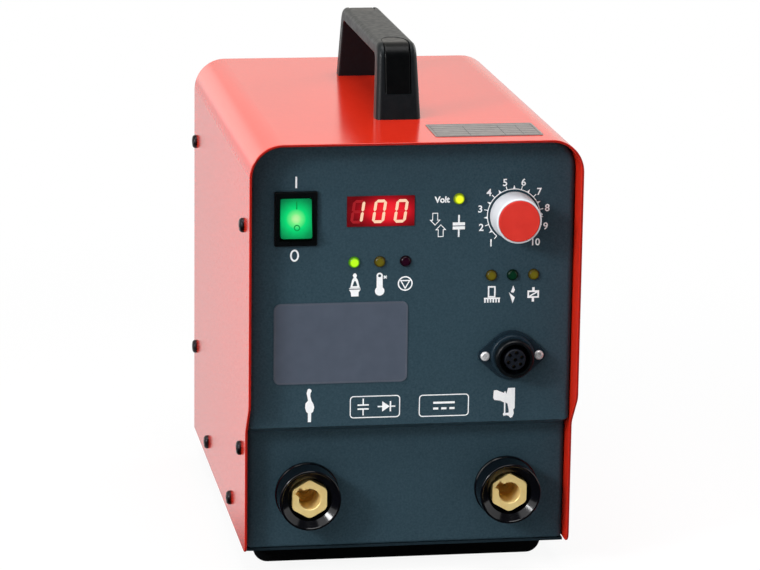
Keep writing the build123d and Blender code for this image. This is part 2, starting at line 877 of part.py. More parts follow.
# Knob: tapered body with a pointer on its skirt, and a coloured cap in its front
knob_section = axis_plane(upper, knob_place)
pointer = math.radians(knob_pointer_angle)
pointer_plane = Plane(
    origin=upper.from_local_coords((*knob_place, knob_gap)),
    x_dir=(math.sin(pointer), 0, math.cos(pointer)),
    z_dir=(0, -1, 0),
)
with BuildPart() as knob_body:
    knob_bore = pot_shaft_radius + screw_fit
    knob_turned = outline(
        knob_section,
        [
            (0, knob_bore_depth),
            (knob_bore, knob_bore_depth),
            (knob_bore, knob_nut_recess[1]),
            (knob_nut_recess[0], knob_nut_recess[1]),
            (knob_nut_recess[0], knob_gap),
            (knob_base_radius, knob_gap),
            (knob_base_radius, knob_skirt),
            (knob_front_radius, knob_body_front - knob_edge),
            (knob_front_radius - knob_edge, knob_body_front),
            (knob_cap_radius + display_gap, knob_body_front),
            (knob_cap_radius + display_gap, knob_cap_recess),
            (0, knob_cap_recess),
        ],
    )
    revolve(knob_turned, axis=plane_axis(knob_section))
    with BuildSketch(pointer_plane):
        with BuildLine():
            Polyline(
                (knob_front_radius, -knob_pointer_half),
                (knob_pointer_reach, 0),
                (knob_front_radius, knob_pointer_half),
                close=True,
            )
        make_face()
    extrude(amount=knob_skirt - knob_gap)
finish(knob_body, "knob_body")

with BuildPart(upper) as knob_cap:
    with Locations((*knob_place, knob_cap_recess)):
        Cylinder(knob_cap_radius, knob_height - knob_cap_recess, align=outwards)
    fillet(knob_cap.edges().sort_by(Axis.Y)[0], radius=knob_cap_round)
finish(knob_cap, "knob_cap")

# Control socket: shell with a two-eared flange, insert with contacts, two screws
control_section = axis_plane(upper, control_place)
with BuildPart() as control_socket_shell:
    with BuildSketch(place_on(upper, control_place)):
        Circle(control_flange_radius)
        with Locations((-control_ear_spread, 0), (control_ear_spread, 0)):
            Circle(control_ear_radius)
        make_hull()
        with Locations((-control_ear_spread, 0), (control_ear_spread, 0)):
            Circle(screw_radius + screw_fit, mode=Mode.SUBTRACT)
    extrude(amount=control_flange)
    control_turned = outline(
        control_section,
        [
            (control_insert_radius - control_floor_lip, control_floor),
            (control_bore, control_floor),
            (control_bore, control_collar_height),
            (control_collar_radius - knob_edge, control_collar_height),
            (control_collar_radius, control_collar_height - knob_edge),
            (control_collar_radius, control_ring_height),
            (control_ring_radius, control_ring_height),
            (control_ring_radius, 0),
            (control_body_radius, 0),
            (control_body_radius, -control_body_depth),
            (control_insert_radius - control_floor_lip, -control_body_depth),
        ],
        [0, 0, 0, 0, 0, 0, control_ring_round, 0, 0, 0, 0],
    )
    revolve(control_turned, axis=plane_axis(control_section))
    with BuildSketch(upper):
        with Locations(control_place):
            Circle(control_bore)
    extrude(amount=control_flange, mode=Mode.SUBTRACT)
finish(control_socket_shell, "control_socket_shell")


def contact_holes(radius):
    """Ring of contacts about a middle one, on the socket's front."""
    with BuildSketch(upper.offset(control_floor)) as holes:
        with Locations(control_place):
            Circle(radius)
            with PolarLocations(control_contact_circle, control_contact_count, control_contact_turn):
                Circle(radius)
    return holes.sketch


with BuildPart() as control_socket_insert:
    with BuildSketch(upper.offset(control_floor)):
        with Locations(control_place):
            Circle(control_insert_radius)
    extrude(amount=control_insert_front - control_floor)
    chamfer(control_socket_insert.edges().sort_by(Axis.Y)[0], control_insert_edge)
    extrude(
        contact_holes(control_contact_radius + screw_fit),
        amount=control_insert_front - control_floor,
        mode=Mode.SUBTRACT,
    )
finish(control_socket_insert, "control_socket_insert")

with BuildPart() as control_socket_contacts:
    contact_front = control_insert_front - control_contact_sunk
    extrude(contact_holes(control_contact_radius), amount=contact_front - control_floor)
    extrude(contact_holes(control_contact_radius), amount=-control_contact_back - control_floor)
finish(control_socket_contacts, "control_socket_contacts")

with BuildPart(upper) as control_socket_screws:
    with Locations(control_place):
        with Locations((-control_ear_spread, 0, control_flange), (control_ear_spread, 0, control_flange)):
            Cylinder(control_screw_head, control_screw_height, align=outwards)
            Cylinder(screw_radius, screw_length, align=inwards)
    fillet(control_socket_screws.edges().group_by(Axis.Y)[0], radius=control_screw_round)
    with BuildSketch(place_on(upper, control_place).offset(control_flange + control_screw_height)):
        with Locations((-control_ear_spread, 0), (control_ear_spread, 0)):
            Rectangle(*control_slot)
            Rectangle(*control_slot, rotation=90)
    extrude(amount=-control_slot_depth, mode=Mode.SUBTRACT)
finish(control_socket_screws, "control_socket_screws")

# Weld sockets: insulator, brass insert with a keyed bore, and the nut behind the strap
for side, place in weld_places.items():
    weld_section = axis_plane(lower, place)
    with BuildPart() as insulator:
        insulator_turned = outline(
            weld_section,
            [
                (weld_thread_radius + weld_fit, weld_recess_floor),
                (weld_recess_radius, weld_recess_floor),
                (weld_recess_radius, weld_bevel_start),
                (weld_bevel_radius, weld_bevel_end),
                (weld_bevel_radius + weld_bevel_lip, weld_ring_height),
                (weld_ring_radius, weld_ring_height),
                (weld_base_radius - weld_base_edge, weld_base_height),
                (weld_base_radius, weld_base_height - weld_base_edge),
                (weld_base_radius, 0),
                (weld_sleeve_radius, 0),
                (weld_sleeve_radius, -weld_sleeve_depth),
                (weld_thread_radius + weld_fit, -weld_sleeve_depth),
            ],
            [0, 0, 0, 0, 0, weld_ring_round, 0, 0, 0, 0, 0, 0],
        )
        revolve(insulator_turned, axis=plane_axis(weld_section))
    finish(insulator, f"weld_socket_{side}_insulator")

    with BuildPart() as insert:
        with BuildSketch(lower.offset(weld_recess_floor)):
            with Locations(place):
                RegularPolygon(weld_hex_flats / 2, 6, major_radius=False, rotation=30)
        extrude(amount=weld_hex_front - weld_recess_floor)
        hex_envelope = outline(
            weld_section,
            [
                (0, weld_recess_floor),
                (weld_hex_turned, weld_recess_floor),
                (weld_hex_turned, weld_hex_front - weld_hex_chamfer),
                (weld_hex_turned - weld_hex_chamfer, weld_hex_front),
                (0, weld_hex_front),
            ],
        )
        revolve(hex_envelope, axis=plane_axis(weld_section), mode=Mode.INTERSECT)
        with BuildSketch(lower.offset(weld_recess_floor)):
            with Locations(place):
                Circle(weld_thread_radius)
        extrude(amount=-weld_recess_floor - weld_thread_back)
        ring_floor = -weld_bore_floor - weld_bore_ring_depth
        bore = outline(
            weld_section,
            [
                (0, -weld_bore_floor),
                (weld_bore_boss, -weld_bore_floor),
                (weld_bore_boss, ring_floor),
                (weld_bore_ring, ring_floor),
                (weld_bore_ring, -weld_bore_floor),
                (weld_bore_radius, -weld_bore_floor),
                (weld_bore_radius, weld_groove[0]),
                (weld_groove_radius, weld_groove[0]),
                (weld_groove_radius, weld_groove[1]),
                (weld_bore_radius, weld_groove[1]),
                (weld_bore_radius, weld_hex_front - weld_bore_lip),
                (weld_bore_radius + weld_bore_lip, weld_hex_front),
                (weld_bore_radius + weld_bore_lip, weld_hex_front + cut_margin),
                (0, weld_hex_front + cut_margin),
            ],
        )
        revolve(bore, axis=plane_axis(weld_section), mode=Mode.SUBTRACT)
        key = math.radians(weld_key_angle)
        key_plane = Plane(
            origin=lower.from_local_coords((*place, weld_hex_front)),
            x_dir=(math.cos(key), 0, math.sin(key)),
            z_dir=(0, -1, 0),
        )
        with BuildSketch(key_plane):
            with Locations((weld_key_reach / 2, 0)):
                Rectangle(weld_key_reach, weld_key_width)
        extrude(amount=weld_groove[1] - weld_key_overlap - weld_hex_front, mode=Mode.SUBTRACT)
    finish(insert, f"weld_socket_{side}_insert")

    with BuildPart() as nut:
        with BuildSketch(lower.offset(-weld_sleeve_depth - bar_sheet)):
            with Locations(place):
                RegularPolygon(weld_nut_flats / 2, 6, major_radius=False)
                Circle(weld_thread_radius + screw_fit, mode=Mode.SUBTRACT)
        extrude(amount=-weld_nut_height)
    finish(nut, f"weld_socket_{side}_nut")

# Capacitors: round cans with two screw terminals, the positive ones towards the middle
can_middle = sum(x for x, depth in can_places) / len(can_places)
for number, (x, depth) in enumerate(can_places, start=1):
    with BuildPart(tray_top) as capacitor:
        with Locations((x, depth)):
            Cylinder(can_radius, can_height, align=outwards)
        with Locations((x, depth, can_height)):
            Cylinder(can_radius - can_rim, can_sunk, align=inwards, mode=Mode.SUBTRACT)
        with Locations((x, depth, can_height - can_sunk)):
            with Locations((-terminal_offset, 0), (terminal_offset, 0)):
                Cylinder(terminal_radius, terminal_top - can_height + can_sunk, align=outwards)
    finish(capacitor, f"capacitor_{number}")

# Clamp plate round the cans, on five posts
can_depths = sorted({depth for x, depth in can_places})
can_xs = sorted({x for x, depth in can_places})
clamp_reach = can_radius + clamp_margin
clamp_centre = (can_middle, sum(can_depths) / 2)
clamp_size = (can_xs[1] - can_xs[0] + 2 * clamp_reach, can_depths[1] - can_depths[0] + 2 * clamp_reach)
with BuildPart() as capacitor_clamp:
    with BuildSketch(tray_top.offset(clamp_height)):
        with Locations(clamp_centre):
            Rectangle(*clamp_size)
        with Locations(*can_places):
            Circle(can_radius + clamp_gap, mode=Mode.SUBTRACT)
    extrude(amount=clamp_sheet)
    with BuildSketch(tray_top):
        with Locations(clamp_centre):
            Rectangle(clamp_post, clamp_post)
            with GridLocations(clamp_size[0] - clamp_post, clamp_size[1] - clamp_post, 2, 2):
                Rectangle(clamp_post, clamp_post)
    extrude(amount=clamp_height)
finish(capacitor_clamp, "capacitor_clamp")


def block(low, high):
    """Centre and size of a box between two corners on the tray."""
    centre = tuple((a + b) / 2 for a, b in zip(low, high))
    size = tuple(b - a for a, b in zip(low, high))
    return centre, size


def join_blocks(corners):
    """One copper bar from boxes that meet, given by their low and high corners."""
    with BuildPart(tray_top) as bar:
        for low, high in corners:
            centre, size = block(low, high)
            with Locations(centre):
                Box(*size)
    return bar


# Copper bars: positive to the thyristor, negative round it to the left socket, strap to the right one
bar_low = terminal_top
bar_high = terminal_top + bar_sheet
pad_top = thyristor_pad_height
thyristor_middle = (thyristor_low[0] + thyristor_high[0]) / 2
strap_front = lower_recess + weld_sleeve_depth
strap_back = strap_front + bar_sheet
positive_left = can_xs[0] + terminal_offset - bar_width / 2
positive_right = can_xs[1] - terminal_offset + bar_width / 2
negative_left = can_xs[0] - terminal_offset
negative_right = can_xs[1] + terminal_offset
drop_depth = thyristor_pads[1] + thyristor_pad[1] / 2 + bar_drop_gap
can_back = can_depths[1] + bar_width
positive_bar = join_blocks(
    [
        ((positive_left, drop_depth, bar_low), (positive_right, can_back - bar_sheet, bar_high)),
        ((positive_left, drop_depth, pad_top), (thyristor_high[0], drop_depth + bar_sheet, bar_high)),
        (
            (positive_left, thyristor_pads[1] - thyristor_pad[1] / 2, pad_top),
            (thyristor_high[0], drop_depth + bar_sheet, pad_top + bar_sheet),
        ),
    ]
)
finish(positive_bar, "bus_bar_positive")

left_x, left_z = weld_places["left"]
right_x, right_z = weld_places["right"]
strap_half = strap_width / 2
negative_front = can_depths[0] - bar_width
negative_bar = join_blocks(
    [
        (
            (negative_left - bar_width / 2, negative_front, bar_low),
            (negative_left + bar_width / 2, can_back + bar_width / 2, bar_high),
        ),
        (
            (negative_right - bar_width / 2, negative_front, bar_low),
            (negative_right + bar_width / 2, can_back + bar_width / 2, bar_high),
        ),
        (
            (negative_left - bar_width / 2, can_back, bar_low),
            (negative_right + bar_width / 2, can_back + bar_width / 2, bar_high),
        ),
        ((left_x - strap_half, negative_front, bar_low), (negative_left, can_depths[0], bar_high)),
        ((left_x - strap_half, strap_front, bar_low), (left_x + strap_half, can_depths[0], bar_high)),
        (
            (left_x - strap_half, strap_front, left_z - strap_half),
            (left_x + strap_half, strap_back, bar_high),
        ),
    ]
)
strap_rise = right_z + strap_half + bar_sheet
weld_strap_end = thyristor_pads[0] + thyristor_pad[1] / 2
weld_strap_drop = thyristor_pads[0] - thyristor_pad[1] / 2
weld_strap = join_blocks(
    [
        (
            (right_x - strap_half, strap_front, right_z - strap_half),
            (right_x + strap_half, strap_back, strap_rise),
        ),
        (
            (right_x - strap_half, strap_front, strap_rise - bar_sheet),
            (right_x + strap_half, weld_strap_drop, strap_rise),
        ),
        (
            (thyristor_low[0], weld_strap_drop - bar_sheet, pad_top),
            (right_x + strap_half, weld_strap_drop, strap_rise),
        ),
        (
            (thyristor_low[0], weld_strap_drop - bar_sheet, pad_top),
            (thyristor_high[0], weld_strap_end, pad_top + bar_sheet),
        ),
    ]
)
for strap, (x, z), name in (
    (negative_bar, weld_places["left"], "bus_bar_negative"),
    (weld_strap, weld_places["right"], "weld_strap"),
):
    with BuildPart() as drilled:
        add(strap.part)
        with BuildSketch(lower.offset(-weld_sleeve_depth)):
            with Locations((x, z)):
                Circle(weld_thread_radius + weld_fit)
        extrude(amount=-bar_sheet, mode=Mode.SUBTRACT)
    finish(drilled, name)

# Thyristor module with two terminal pads
thyristor_centre, thyristor_size = block((*thyristor_low, 0), (*thyristor_high, thyristor_height))
with BuildPart(tray_top) as thyristor_module:
    with Locations(thyristor_centre):
        Box(*thyristor_size)
    with Locations(*[(thyristor_middle, depth, thyristor_height) for depth in thyristor_pads]):
        Box(*thyristor_pad, thyristor_pad_height - thyristor_height, align=outwards)
finish(thyristor_module, "thyristor_module")

# Ring transformer
transformer_section = axis_plane(tray_top, transformer_place)
with BuildPart() as transformer:
    ring = outline(
        transformer_section,
        [
            (transformer_inner, 0),
            (transformer_outer, 0),
            (transformer_outer, transformer_height),
            (transformer_inner, transformer_height),
        ],
        transformer_round,
    )
    revolve(ring, axis=plane_axis(transformer_section))
finish(transformer, "transformer")

# Rectifier bridge with four blade tabs
with BuildPart(tray_top) as rectifier_bridge:
    with Locations(rectifier_place):
        Box(rectifier_side, rectifier_side, rectifier_height, align=outwards)
    with Locations((*rectifier_place, rectifier_height)):
        with GridLocations(rectifier_tab_spread, rectifier_tab_spread, 2, 2):
            Box(*rectifier_tab, align=outwards)
finish(rectifier_bridge, "rectifier_bridge")

# Fan: square frame with a motor seat on four struts, rotor, wire guard and screws
fan_local = on_rear(fan_place)
fan_front = -panel_sheet - fan_depth
with BuildPart() as fan_frame:
    with BuildSketch(rear.offset(fan_front)):
        with Locations(fan_local):
            RectangleRounded(fan_side, fan_side, fan_corner)
            Circle(fan_bore, mode=Mode.SUBTRACT)
            with GridLocations(2 * fan_hole_half, 2 * fan_hole_half, 2, 2):
                Circle(screw_hole, mode=Mode.SUBTRACT)
    extrude(amount=fan_depth)
    with BuildSketch(rear.offset(fan_front)):
        with Locations(fan_local):
            Circle(fan_motor_radius)
    extrude(amount=fan_motor_height)
    with BuildSketch(rear.offset(fan_front)):
        with Locations(fan_local):
            with PolarLocations((fan_motor_radius + fan_bore) / 2, 4, start_angle=45):
                Rectangle(fan_bore - fan_motor_radius + fan_strut_root, fan_strut[0])
    extrude(amount=fan_strut[1])
    with BuildSketch(rear.offset(fan_front + fan_motor_height)):
        with Locations(fan_local):
            Circle(fan_shaft_radius + shaft_clearance)
    extrude(amount=-fan_shaft_depth - fan_rotor_gap, mode=Mode.SUBTRACT)
finish(fan_frame, "fan_frame")

rotor_front = fan_front + fan_motor_height + fan_rotor_gap
fan_axis_point = rear.from_local_coords((*fan_local, rotor_front + fan_rotor_height / 2))
with BuildPart() as fan_rotor:
    with BuildSketch(rear.offset(rotor_front)):
        with Locations(fan_local):
            Circle(fan_hub_radius)
    extrude(amount=fan_rotor_height)
    fillet(fan_rotor.edges().group_by(Axis.Y)[-1], radius=fan_rotor_gap)
    for number in range(fan_blade_count):
        turn = 2 * math.pi * number / fan_blade_count
        spoke = Vector(math.cos(turn), 0, math.sin(turn))
        across = Vector(-math.sin(turn), 0, math.cos(turn))
        lean = math.radians(fan_blade_pitch)
        chord = across * math.cos(lean) + Vector(0, 1, 0) * math.sin(lean)
        blade_plane = Plane(origin=fan_axis_point, x_dir=chord, z_dir=spoke)
        with BuildSketch(blade_plane.offset(fan_hub_radius - fan_blade_root)):
            Rectangle(fan_blade_width, fan_blade_sheet)
        extrude(amount=fan_blade_radius - fan_hub_radius + fan_blade_root)
    with BuildSketch(rear.offset(rotor_front)):
        with Locations(fan_local):
            Circle(fan_shaft_radius)
    extrude(amount=-fan_shaft_depth)
finish(fan_rotor, "fan_rotor")

with BuildPart(rear) as fan_guard:
    with Locations((*fan_local, guard_ring_level)):
        for radius in guard_rings:
            Torus(radius, guard_wire)
    with Locations(fan_local):
        with PolarLocations(0, 4, start_angle=45):
            with Locations((guard_rings[-1], 0, guard_spoke_level)):
                Cylinder(
                    guard_spoke,
                    fan_hole_half * math.sqrt(2) - guard_rings[-1] - screw_hole - guard_spoke_short,
                    rotation=(0, 90, 0),
                    align=outwards,
                )
        with GridLocations(2 * fan_hole_half, 2 * fan_hole_half, 2, 2):
            Cylinder(guard_eye_radius, guard_eye, align=outwards)
            Cylinder(screw_hole, guard_eye, align=outwards, mode=Mode.SUBTRACT)
finish(fan_guard, "fan_guard")

with BuildPart(rear) as fan_screws:
    with Locations(fan_local):
        with GridLocations(2 * fan_hole_half, 2 * fan_hole_half, 2, 2):
            with Locations((0, 0, guard_eye)):
                Cylinder(screw_head_radius, screw_head, align=outwards)
                Cylinder(screw_radius, guard_eye + panel_sheet + fan_depth, align=inwards)
    fillet(fan_screws.edges().group_by(Axis.Y)[-1], radius=screw_head_round)
finish(fan_screws, "fan_screws")

# Mains inlet with a fuse drawer above its socket
inlet_local = on_rear(inlet_place)
cavity_place = (inlet_local[0], inlet_local[1] + inlet_cavity_drop)
drawer_place = (inlet_local[0], inlet_local[1] + drawer_rise)
cavity_half, cavity_rise = inlet_cavity[0] / 2, inlet_cavity[1] / 2
with BuildPart() as mains_inlet:
    with BuildSketch(rear):
        with Locations(inlet_local):
            RectangleRounded(*inlet_flange, inlet_corner)
    extrude(amount=inlet_flange_height)
    fillet(mains_inlet.faces().sort_by(Axis.Y)[-1].edges(), radius=switch_bezel_round)
    with BuildSketch(rear):
        with Locations(inlet_local):
            RectangleRounded(*inlet_body, inlet_corner)
    extrude(amount=-inlet_body_depth)
    with BuildSketch(rear.offset(inlet_flange_height)):
        with Locations(cavity_place):
            Polygon(
                (-cavity_half, -cavity_rise),
                (cavity_half, -cavity_rise),
                (cavity_half, cavity_rise - inlet_cavity_chamfer),
                (cavity_half - inlet_cavity_chamfer, cavity_rise),
                (-cavity_half + inlet_cavity_chamfer, cavity_rise),
                (-cavity_half, cavity_rise - inlet_cavity_chamfer),
            )
    extrude(amount=-inlet_cavity_depth, mode=Mode.SUBTRACT)
    with BuildSketch(rear.offset(inlet_flange_height)):
        with Locations(drawer_place):
            Rectangle(*drawer_size)
    extrude(amount=-drawer_depth, mode=Mode.SUBTRACT)
    with BuildSketch(rear):
        with Locations(cavity_place):
            with Locations(*inlet_pin_places):
                Rectangle(inlet_pin[0] + 2 * screw_fit, inlet_pin[1] + 2 * screw_fit)
    extrude(amount=-inlet_body_depth, mode=Mode.SUBTRACT)
finish(mains_inlet, "mains_inlet")

with BuildPart() as inlet_contacts:
    with BuildSketch(rear.offset(inlet_flange_height + inlet_pin_front)):
        with Locations(cavity_place):
            with Locations(*inlet_pin_places):
                Rectangle(*inlet_pin)
    extrude(amount=inlet_pin_back - inlet_flange_height - inlet_pin_front)
finish(inlet_contacts, "inlet_contacts")

with BuildPart() as fuse_drawer:
    with BuildSketch(rear.offset(inlet_flange_height)):
        with Locations(drawer_place):
            Rectangle(drawer_size[0] - 2 * drawer_gap, drawer_size[1] - 2 * drawer_gap)
    extrude(amount=drawer_gap - drawer_depth)
    with BuildSketch(rear.offset(inlet_flange_height)):
        with Locations((drawer_place[0], drawer_place[1] + drawer_size[1] / 4)):
            Rectangle(*drawer_lip)
    extrude(amount=drawer_lip[1])
finish(fuse_drawer, "fuse_drawer")
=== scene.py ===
import json
import math

import bmesh
import bpy
from mathutils import Matrix, Vector


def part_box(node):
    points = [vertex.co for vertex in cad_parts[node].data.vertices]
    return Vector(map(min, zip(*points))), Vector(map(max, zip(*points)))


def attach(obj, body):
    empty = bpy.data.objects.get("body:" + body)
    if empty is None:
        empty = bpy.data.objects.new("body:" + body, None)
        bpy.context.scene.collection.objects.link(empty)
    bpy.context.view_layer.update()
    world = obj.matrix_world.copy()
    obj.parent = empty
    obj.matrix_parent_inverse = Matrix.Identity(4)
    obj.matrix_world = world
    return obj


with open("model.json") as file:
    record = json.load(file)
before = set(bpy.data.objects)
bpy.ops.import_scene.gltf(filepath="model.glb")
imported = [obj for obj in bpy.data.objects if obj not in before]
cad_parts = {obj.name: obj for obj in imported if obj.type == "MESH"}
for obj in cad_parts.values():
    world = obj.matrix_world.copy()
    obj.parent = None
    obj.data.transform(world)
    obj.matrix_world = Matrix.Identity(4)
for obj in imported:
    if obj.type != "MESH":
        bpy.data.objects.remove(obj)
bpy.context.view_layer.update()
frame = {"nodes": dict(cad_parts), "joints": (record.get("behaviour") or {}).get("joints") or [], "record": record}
nodes = frame["nodes"]
slot_of = {part["node"]: part["material_slot"] for part in frame["record"]["subparts"]}
joints = {joint["name"]: joint for joint in frame["joints"]}

# Units and the faces that carry print, read from the frame

MM = 0.001
case_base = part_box("hood")[0].z
panel_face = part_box("front_label")[1].y
label_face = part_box("front_label")[0].y
window_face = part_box("display_window")[0].y
plate_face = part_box("rating_plate")[1].z
hood_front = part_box("hood")[0].y
print_sink = 0.03
print_rise = 0.05
print_step = 0.003
text_depth = 0.5
weld_distance = 0.002


def on_front(face):
    """Millimetres across and above the case's base, on a face that looks to the front."""
    return lambda x, z, out: Vector((x * MM, face - out * MM, case_base + z * MM))


def on_plate(x, depth, out):
    """Millimetres across and behind the hood's front edge, on the rating plate."""
    return Vector((x * MM, hood_front + depth * MM, plate_face + out * MM))


def middle(node):
    low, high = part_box(node)
    return (low + high) / 2


def panel_place(node):
    """A node's middle as millimetres across and above the case's base."""
    point = middle(node)
    return point.x / MM, (point.z - case_base) / MM


# Flat shapes


class Print:
    """Closed flat shapes drawn in millimetres on a face and raised a little from it."""

    def __init__(self, place, centre=(0, 0)):
        self.mesh = bmesh.new()
        self.place = place
        self.centre = centre
        self.low = -print_sink
        self.high = print_rise

    def vert(self, point, out):
        return self.mesh.verts.new(self.place(point[0] + self.centre[0], point[1] + self.centre[1], out))

    def strip(self, left, right, closed):
        """A band between two lines of points."""
        self.high += print_step
        rows = []
        for a, b in zip(left, right):
            low = [self.vert(a, self.low), self.vert(b, self.low)]
            rows.append(low + [self.vert(b, self.high), self.vert(a, self.high)])
        for one, two in zip(rows, rows[1:] + rows[:1] if closed else rows[1:]):
            for k in range(4):
                self.mesh.faces.new((one[k], one[(k + 1) % 4], two[(k + 1) % 4], two[k]))
        if not closed:
            self.mesh.faces.new(rows[0])
            self.mesh.faces.new(rows[-1])
        return self

    def ribbon(self, points, width, closed=False):
        """A line of even width with mitred corners."""
        line = [Vector(p) for p in points]
        count = len(line)
        left, right = [], []
        for i, point in enumerate(line):
            before = line[i - 1] if closed or i > 0 else None
            after = line[(i + 1) % count] if closed or i < count - 1 else None
            ways = [(point - before).normalized()] if before is not None else []
            ways += [(after - point).normalized()] if after is not None else []
            sides = [Vector((-way.y, way.x)) for way in ways]
            side = sides[0] + sides[-1]
            side = side / (1 + sides[0].dot(sides[-1])) * width / 2
            left.append(point + side)
            right.append(point - side)
        return self.strip(left, right, closed)

    def polygon(self, points):
        self.high += print_step
        low = [self.vert(p, self.low) for p in points]
        high = [self.vert(p, self.high) for p in points]
        self.mesh.faces.new(low)
        self.mesh.faces.new(high)
        for i in range(len(points)):
            j = (i + 1) % len(points)
            self.mesh.faces.new((low[i], low[j], high[j], high[i]))
        return self

    def disc(self, centre, radius):
        return self.polygon(circle(centre, radius))

    def ring(self, centre, outer, inner):
        return self.strip(circle(centre, outer), circle(centre, inner), True)

    def text(self, words, at, height, bold=0.0):
        """Words of a given capital height, centred at a point."""
        curve = bpy.data.curves.new("words", "FONT")
        curve.body = words
        curve.align_x = "CENTER"
        curve.align_y = "CENTER"
        curve.extrude = text_depth
        curve.offset = bold
        carrier = bpy.data.objects.new("words", curve)
        bpy.context.scene.collection.objects.link(carrier)
        bpy.context.view_layer.update()
        flat = bpy.data.meshes.new_from_object(carrier)
        tall = max(v.co.y for v in flat.vertices) - min(v.co.y for v in flat.vertices)
        drop = (max(v.co.y for v in flat.vertices) + min(v.co.y for v in flat.vertices)) / 2
        scale = height / tall
        for v in flat.vertices:
            x = at[0] + v.co.x * scale + self.centre[0]
            y = at[1] + (v.co.y - drop) * scale + self.centre[1]
            v.co = self.place(x, y, self.high if v.co.z > 0 else self.low)
        self.mesh.from_mesh(flat)
        bpy.data.objects.remove(carrier)
        bpy.data.curves.remove(curve)
        bpy.data.meshes.remove(flat)
        return self

    def build(self, name, material, body="case", slot=None):
        bmesh.ops.remove_doubles(self.mesh, verts=self.mesh.verts, dist=weld_distance * MM)
        bmesh.ops.recalc_face_normals(self.mesh, faces=self.mesh.faces)
        data = bpy.data.meshes.new(name)
        self.mesh.to_mesh(data)
        self.mesh.free()
        piece = bpy.data.objects.new(name, data)
        bpy.context.scene.collection.objects.link(piece)
        data.materials.append(material)
        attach(piece, body)


def circle(centre, radius, squash=1.0, steps=40):
    turn = 2 * math.pi / steps
    return [
        (centre[0] + radius * squash * math.cos(i * turn), centre[1] + radius * math.sin(i * turn))
        for i in range(steps)
    ]


def dial_point(radius, angle):
    """A point on the dial, its angle in degrees clockwise from the top."""
    turn = math.radians(angle)
    return radius * math.sin(turn), radius * math.cos(turn)


def rounded_rectangle(size, radius, steps=6):
    """Corner points of a rectangle with round corners, about its own middle."""
    points = []
    for quarter, (sx, sy) in enumerate(((1, 1), (-1, 1), (-1, -1), (1, -1))):
        corner = (sx * (size[0] / 2 - radius), sy * (size[1] / 2 - radius))
        for i in range(steps + 1):
            turn = math.radians(90 * (quarter + i / steps))
            points.append((corner[0] + radius * math.cos(turn), corner[1] + radius * math.sin(turn)))
    return points


# Material nodes


class Finish:
    """A principled material whose colour, gloss and relief come from noise."""

    def __init__(self, name, roughness, metallic=0.0, specular=0.5):
        self.material = bpy.data.materials.new(name)
        self.material.use_nodes = True
        self.tree = self.material.node_tree
        self.shader = self.tree.nodes["Principled BSDF"]
        self.shader.inputs["Roughness"].default_value = roughness
        self.shader.inputs["Metallic"].default_value = metallic
        self.shader.inputs["Specular IOR Level"].default_value = specular
        self.coordinates = self.tree.nodes.new("ShaderNodeTexCoord").outputs["Object"]

    def node(self, kind, **settings):
        made = self.tree.nodes.new(kind)
        for key, value in settings.items():
            setattr(made, key, value)
        return made

    def link(self, source, target):
        self.tree.links.new(source, target)

    def noise(self, size_mm, detail=3.0, stretch=(1, 1, 1)):
        """Noise whose grains are about size_mm across."""
        mapping = self.node("ShaderNodeMapping")
        mapping.inputs["Scale"].default_value = stretch
        made = self.node("ShaderNodeTexNoise")
        made.inputs["Scale"].default_value = 1 / (size_mm * MM)
        made.inputs["Detail"].default_value = detail
        self.link(self.coordinates, mapping.inputs["Vector"])
        self.link(mapping.outputs["Vector"], made.inputs["Vector"])
        return made.outputs["Fac"]

    def spread(self, source, low, high, start=0.3, end=0.7):
        """A value that runs from low to high as the source runs from start to end."""
        made = self.node("ShaderNodeMapRange", interpolation_type="SMOOTHSTEP")
        made.inputs["From Min"].default_value = start
        made.inputs["From Max"].default_value = end
        made.inputs["To Min"].default_value = low
        made.inputs["To Max"].default_value = high
        self.link(source, made.inputs["Value"])
        return made.outputs["Result"]

    def ramp(self, source, stops):
        """Colours at places along the source."""
        made = self.node("ShaderNodeValToRGB")
        steps = made.color_ramp.elements
        while len(steps) < len(stops):
            steps.new(0.5)
        for step, (place, colour) in zip(steps, stops):
            step.position = place
            step.color = (*colour, 1)
        self.link(source, made.inputs["Fac"])
        return made.outputs["Color"]

    def colour(self, source, dark, light):
        self.link(self.ramp(source, [(0.3, dark), (0.7, light)]), self.shader.inputs["Base Color"])
        return self

    def gloss(self, source, low, high):
        self.link(self.spread(source, low, high), self.shader.inputs["Roughness"])
        return self

    def relief(self, source, depth_mm, strength):
        made = self.node("ShaderNodeBump")
        made.inputs["Distance"].default_value = depth_mm * MM
        made.inputs["Strength"].default_value = strength
        self.link(source, made.inputs["Height"])
        self.link(made.outputs["Normal"], self.shader.inputs["Normal"])
        return self

    def away_from(self, centre, axes):
        """Distance in millimetres from a line or a point, counted along the given axes."""
        scaled = self.node("ShaderNodeVectorMath", operation="SUBTRACT")
        scaled.inputs[1].default_value = centre
        self.link(self.coordinates, scaled.inputs[0])
        kept = self.node("ShaderNodeVectorMath", operation="MULTIPLY")
        kept.inputs[1].default_value = [axis / MM for axis in axes]
        self.link(scaled.outputs["Vector"], kept.inputs[0])
        length = self.node("ShaderNodeVectorMath", operation="LENGTH")
        self.link(kept.outputs["Vector"], length.inputs[0])
        return length.outputs["Value"]

    def glow(self, colour_source, strength):
        self.link(colour_source, self.shader.inputs["Emission Color"])
        self.shader.inputs["Emission Strength"].default_value = strength
        return self


# Values of the finishes: lengths in millimetres, shares and strengths

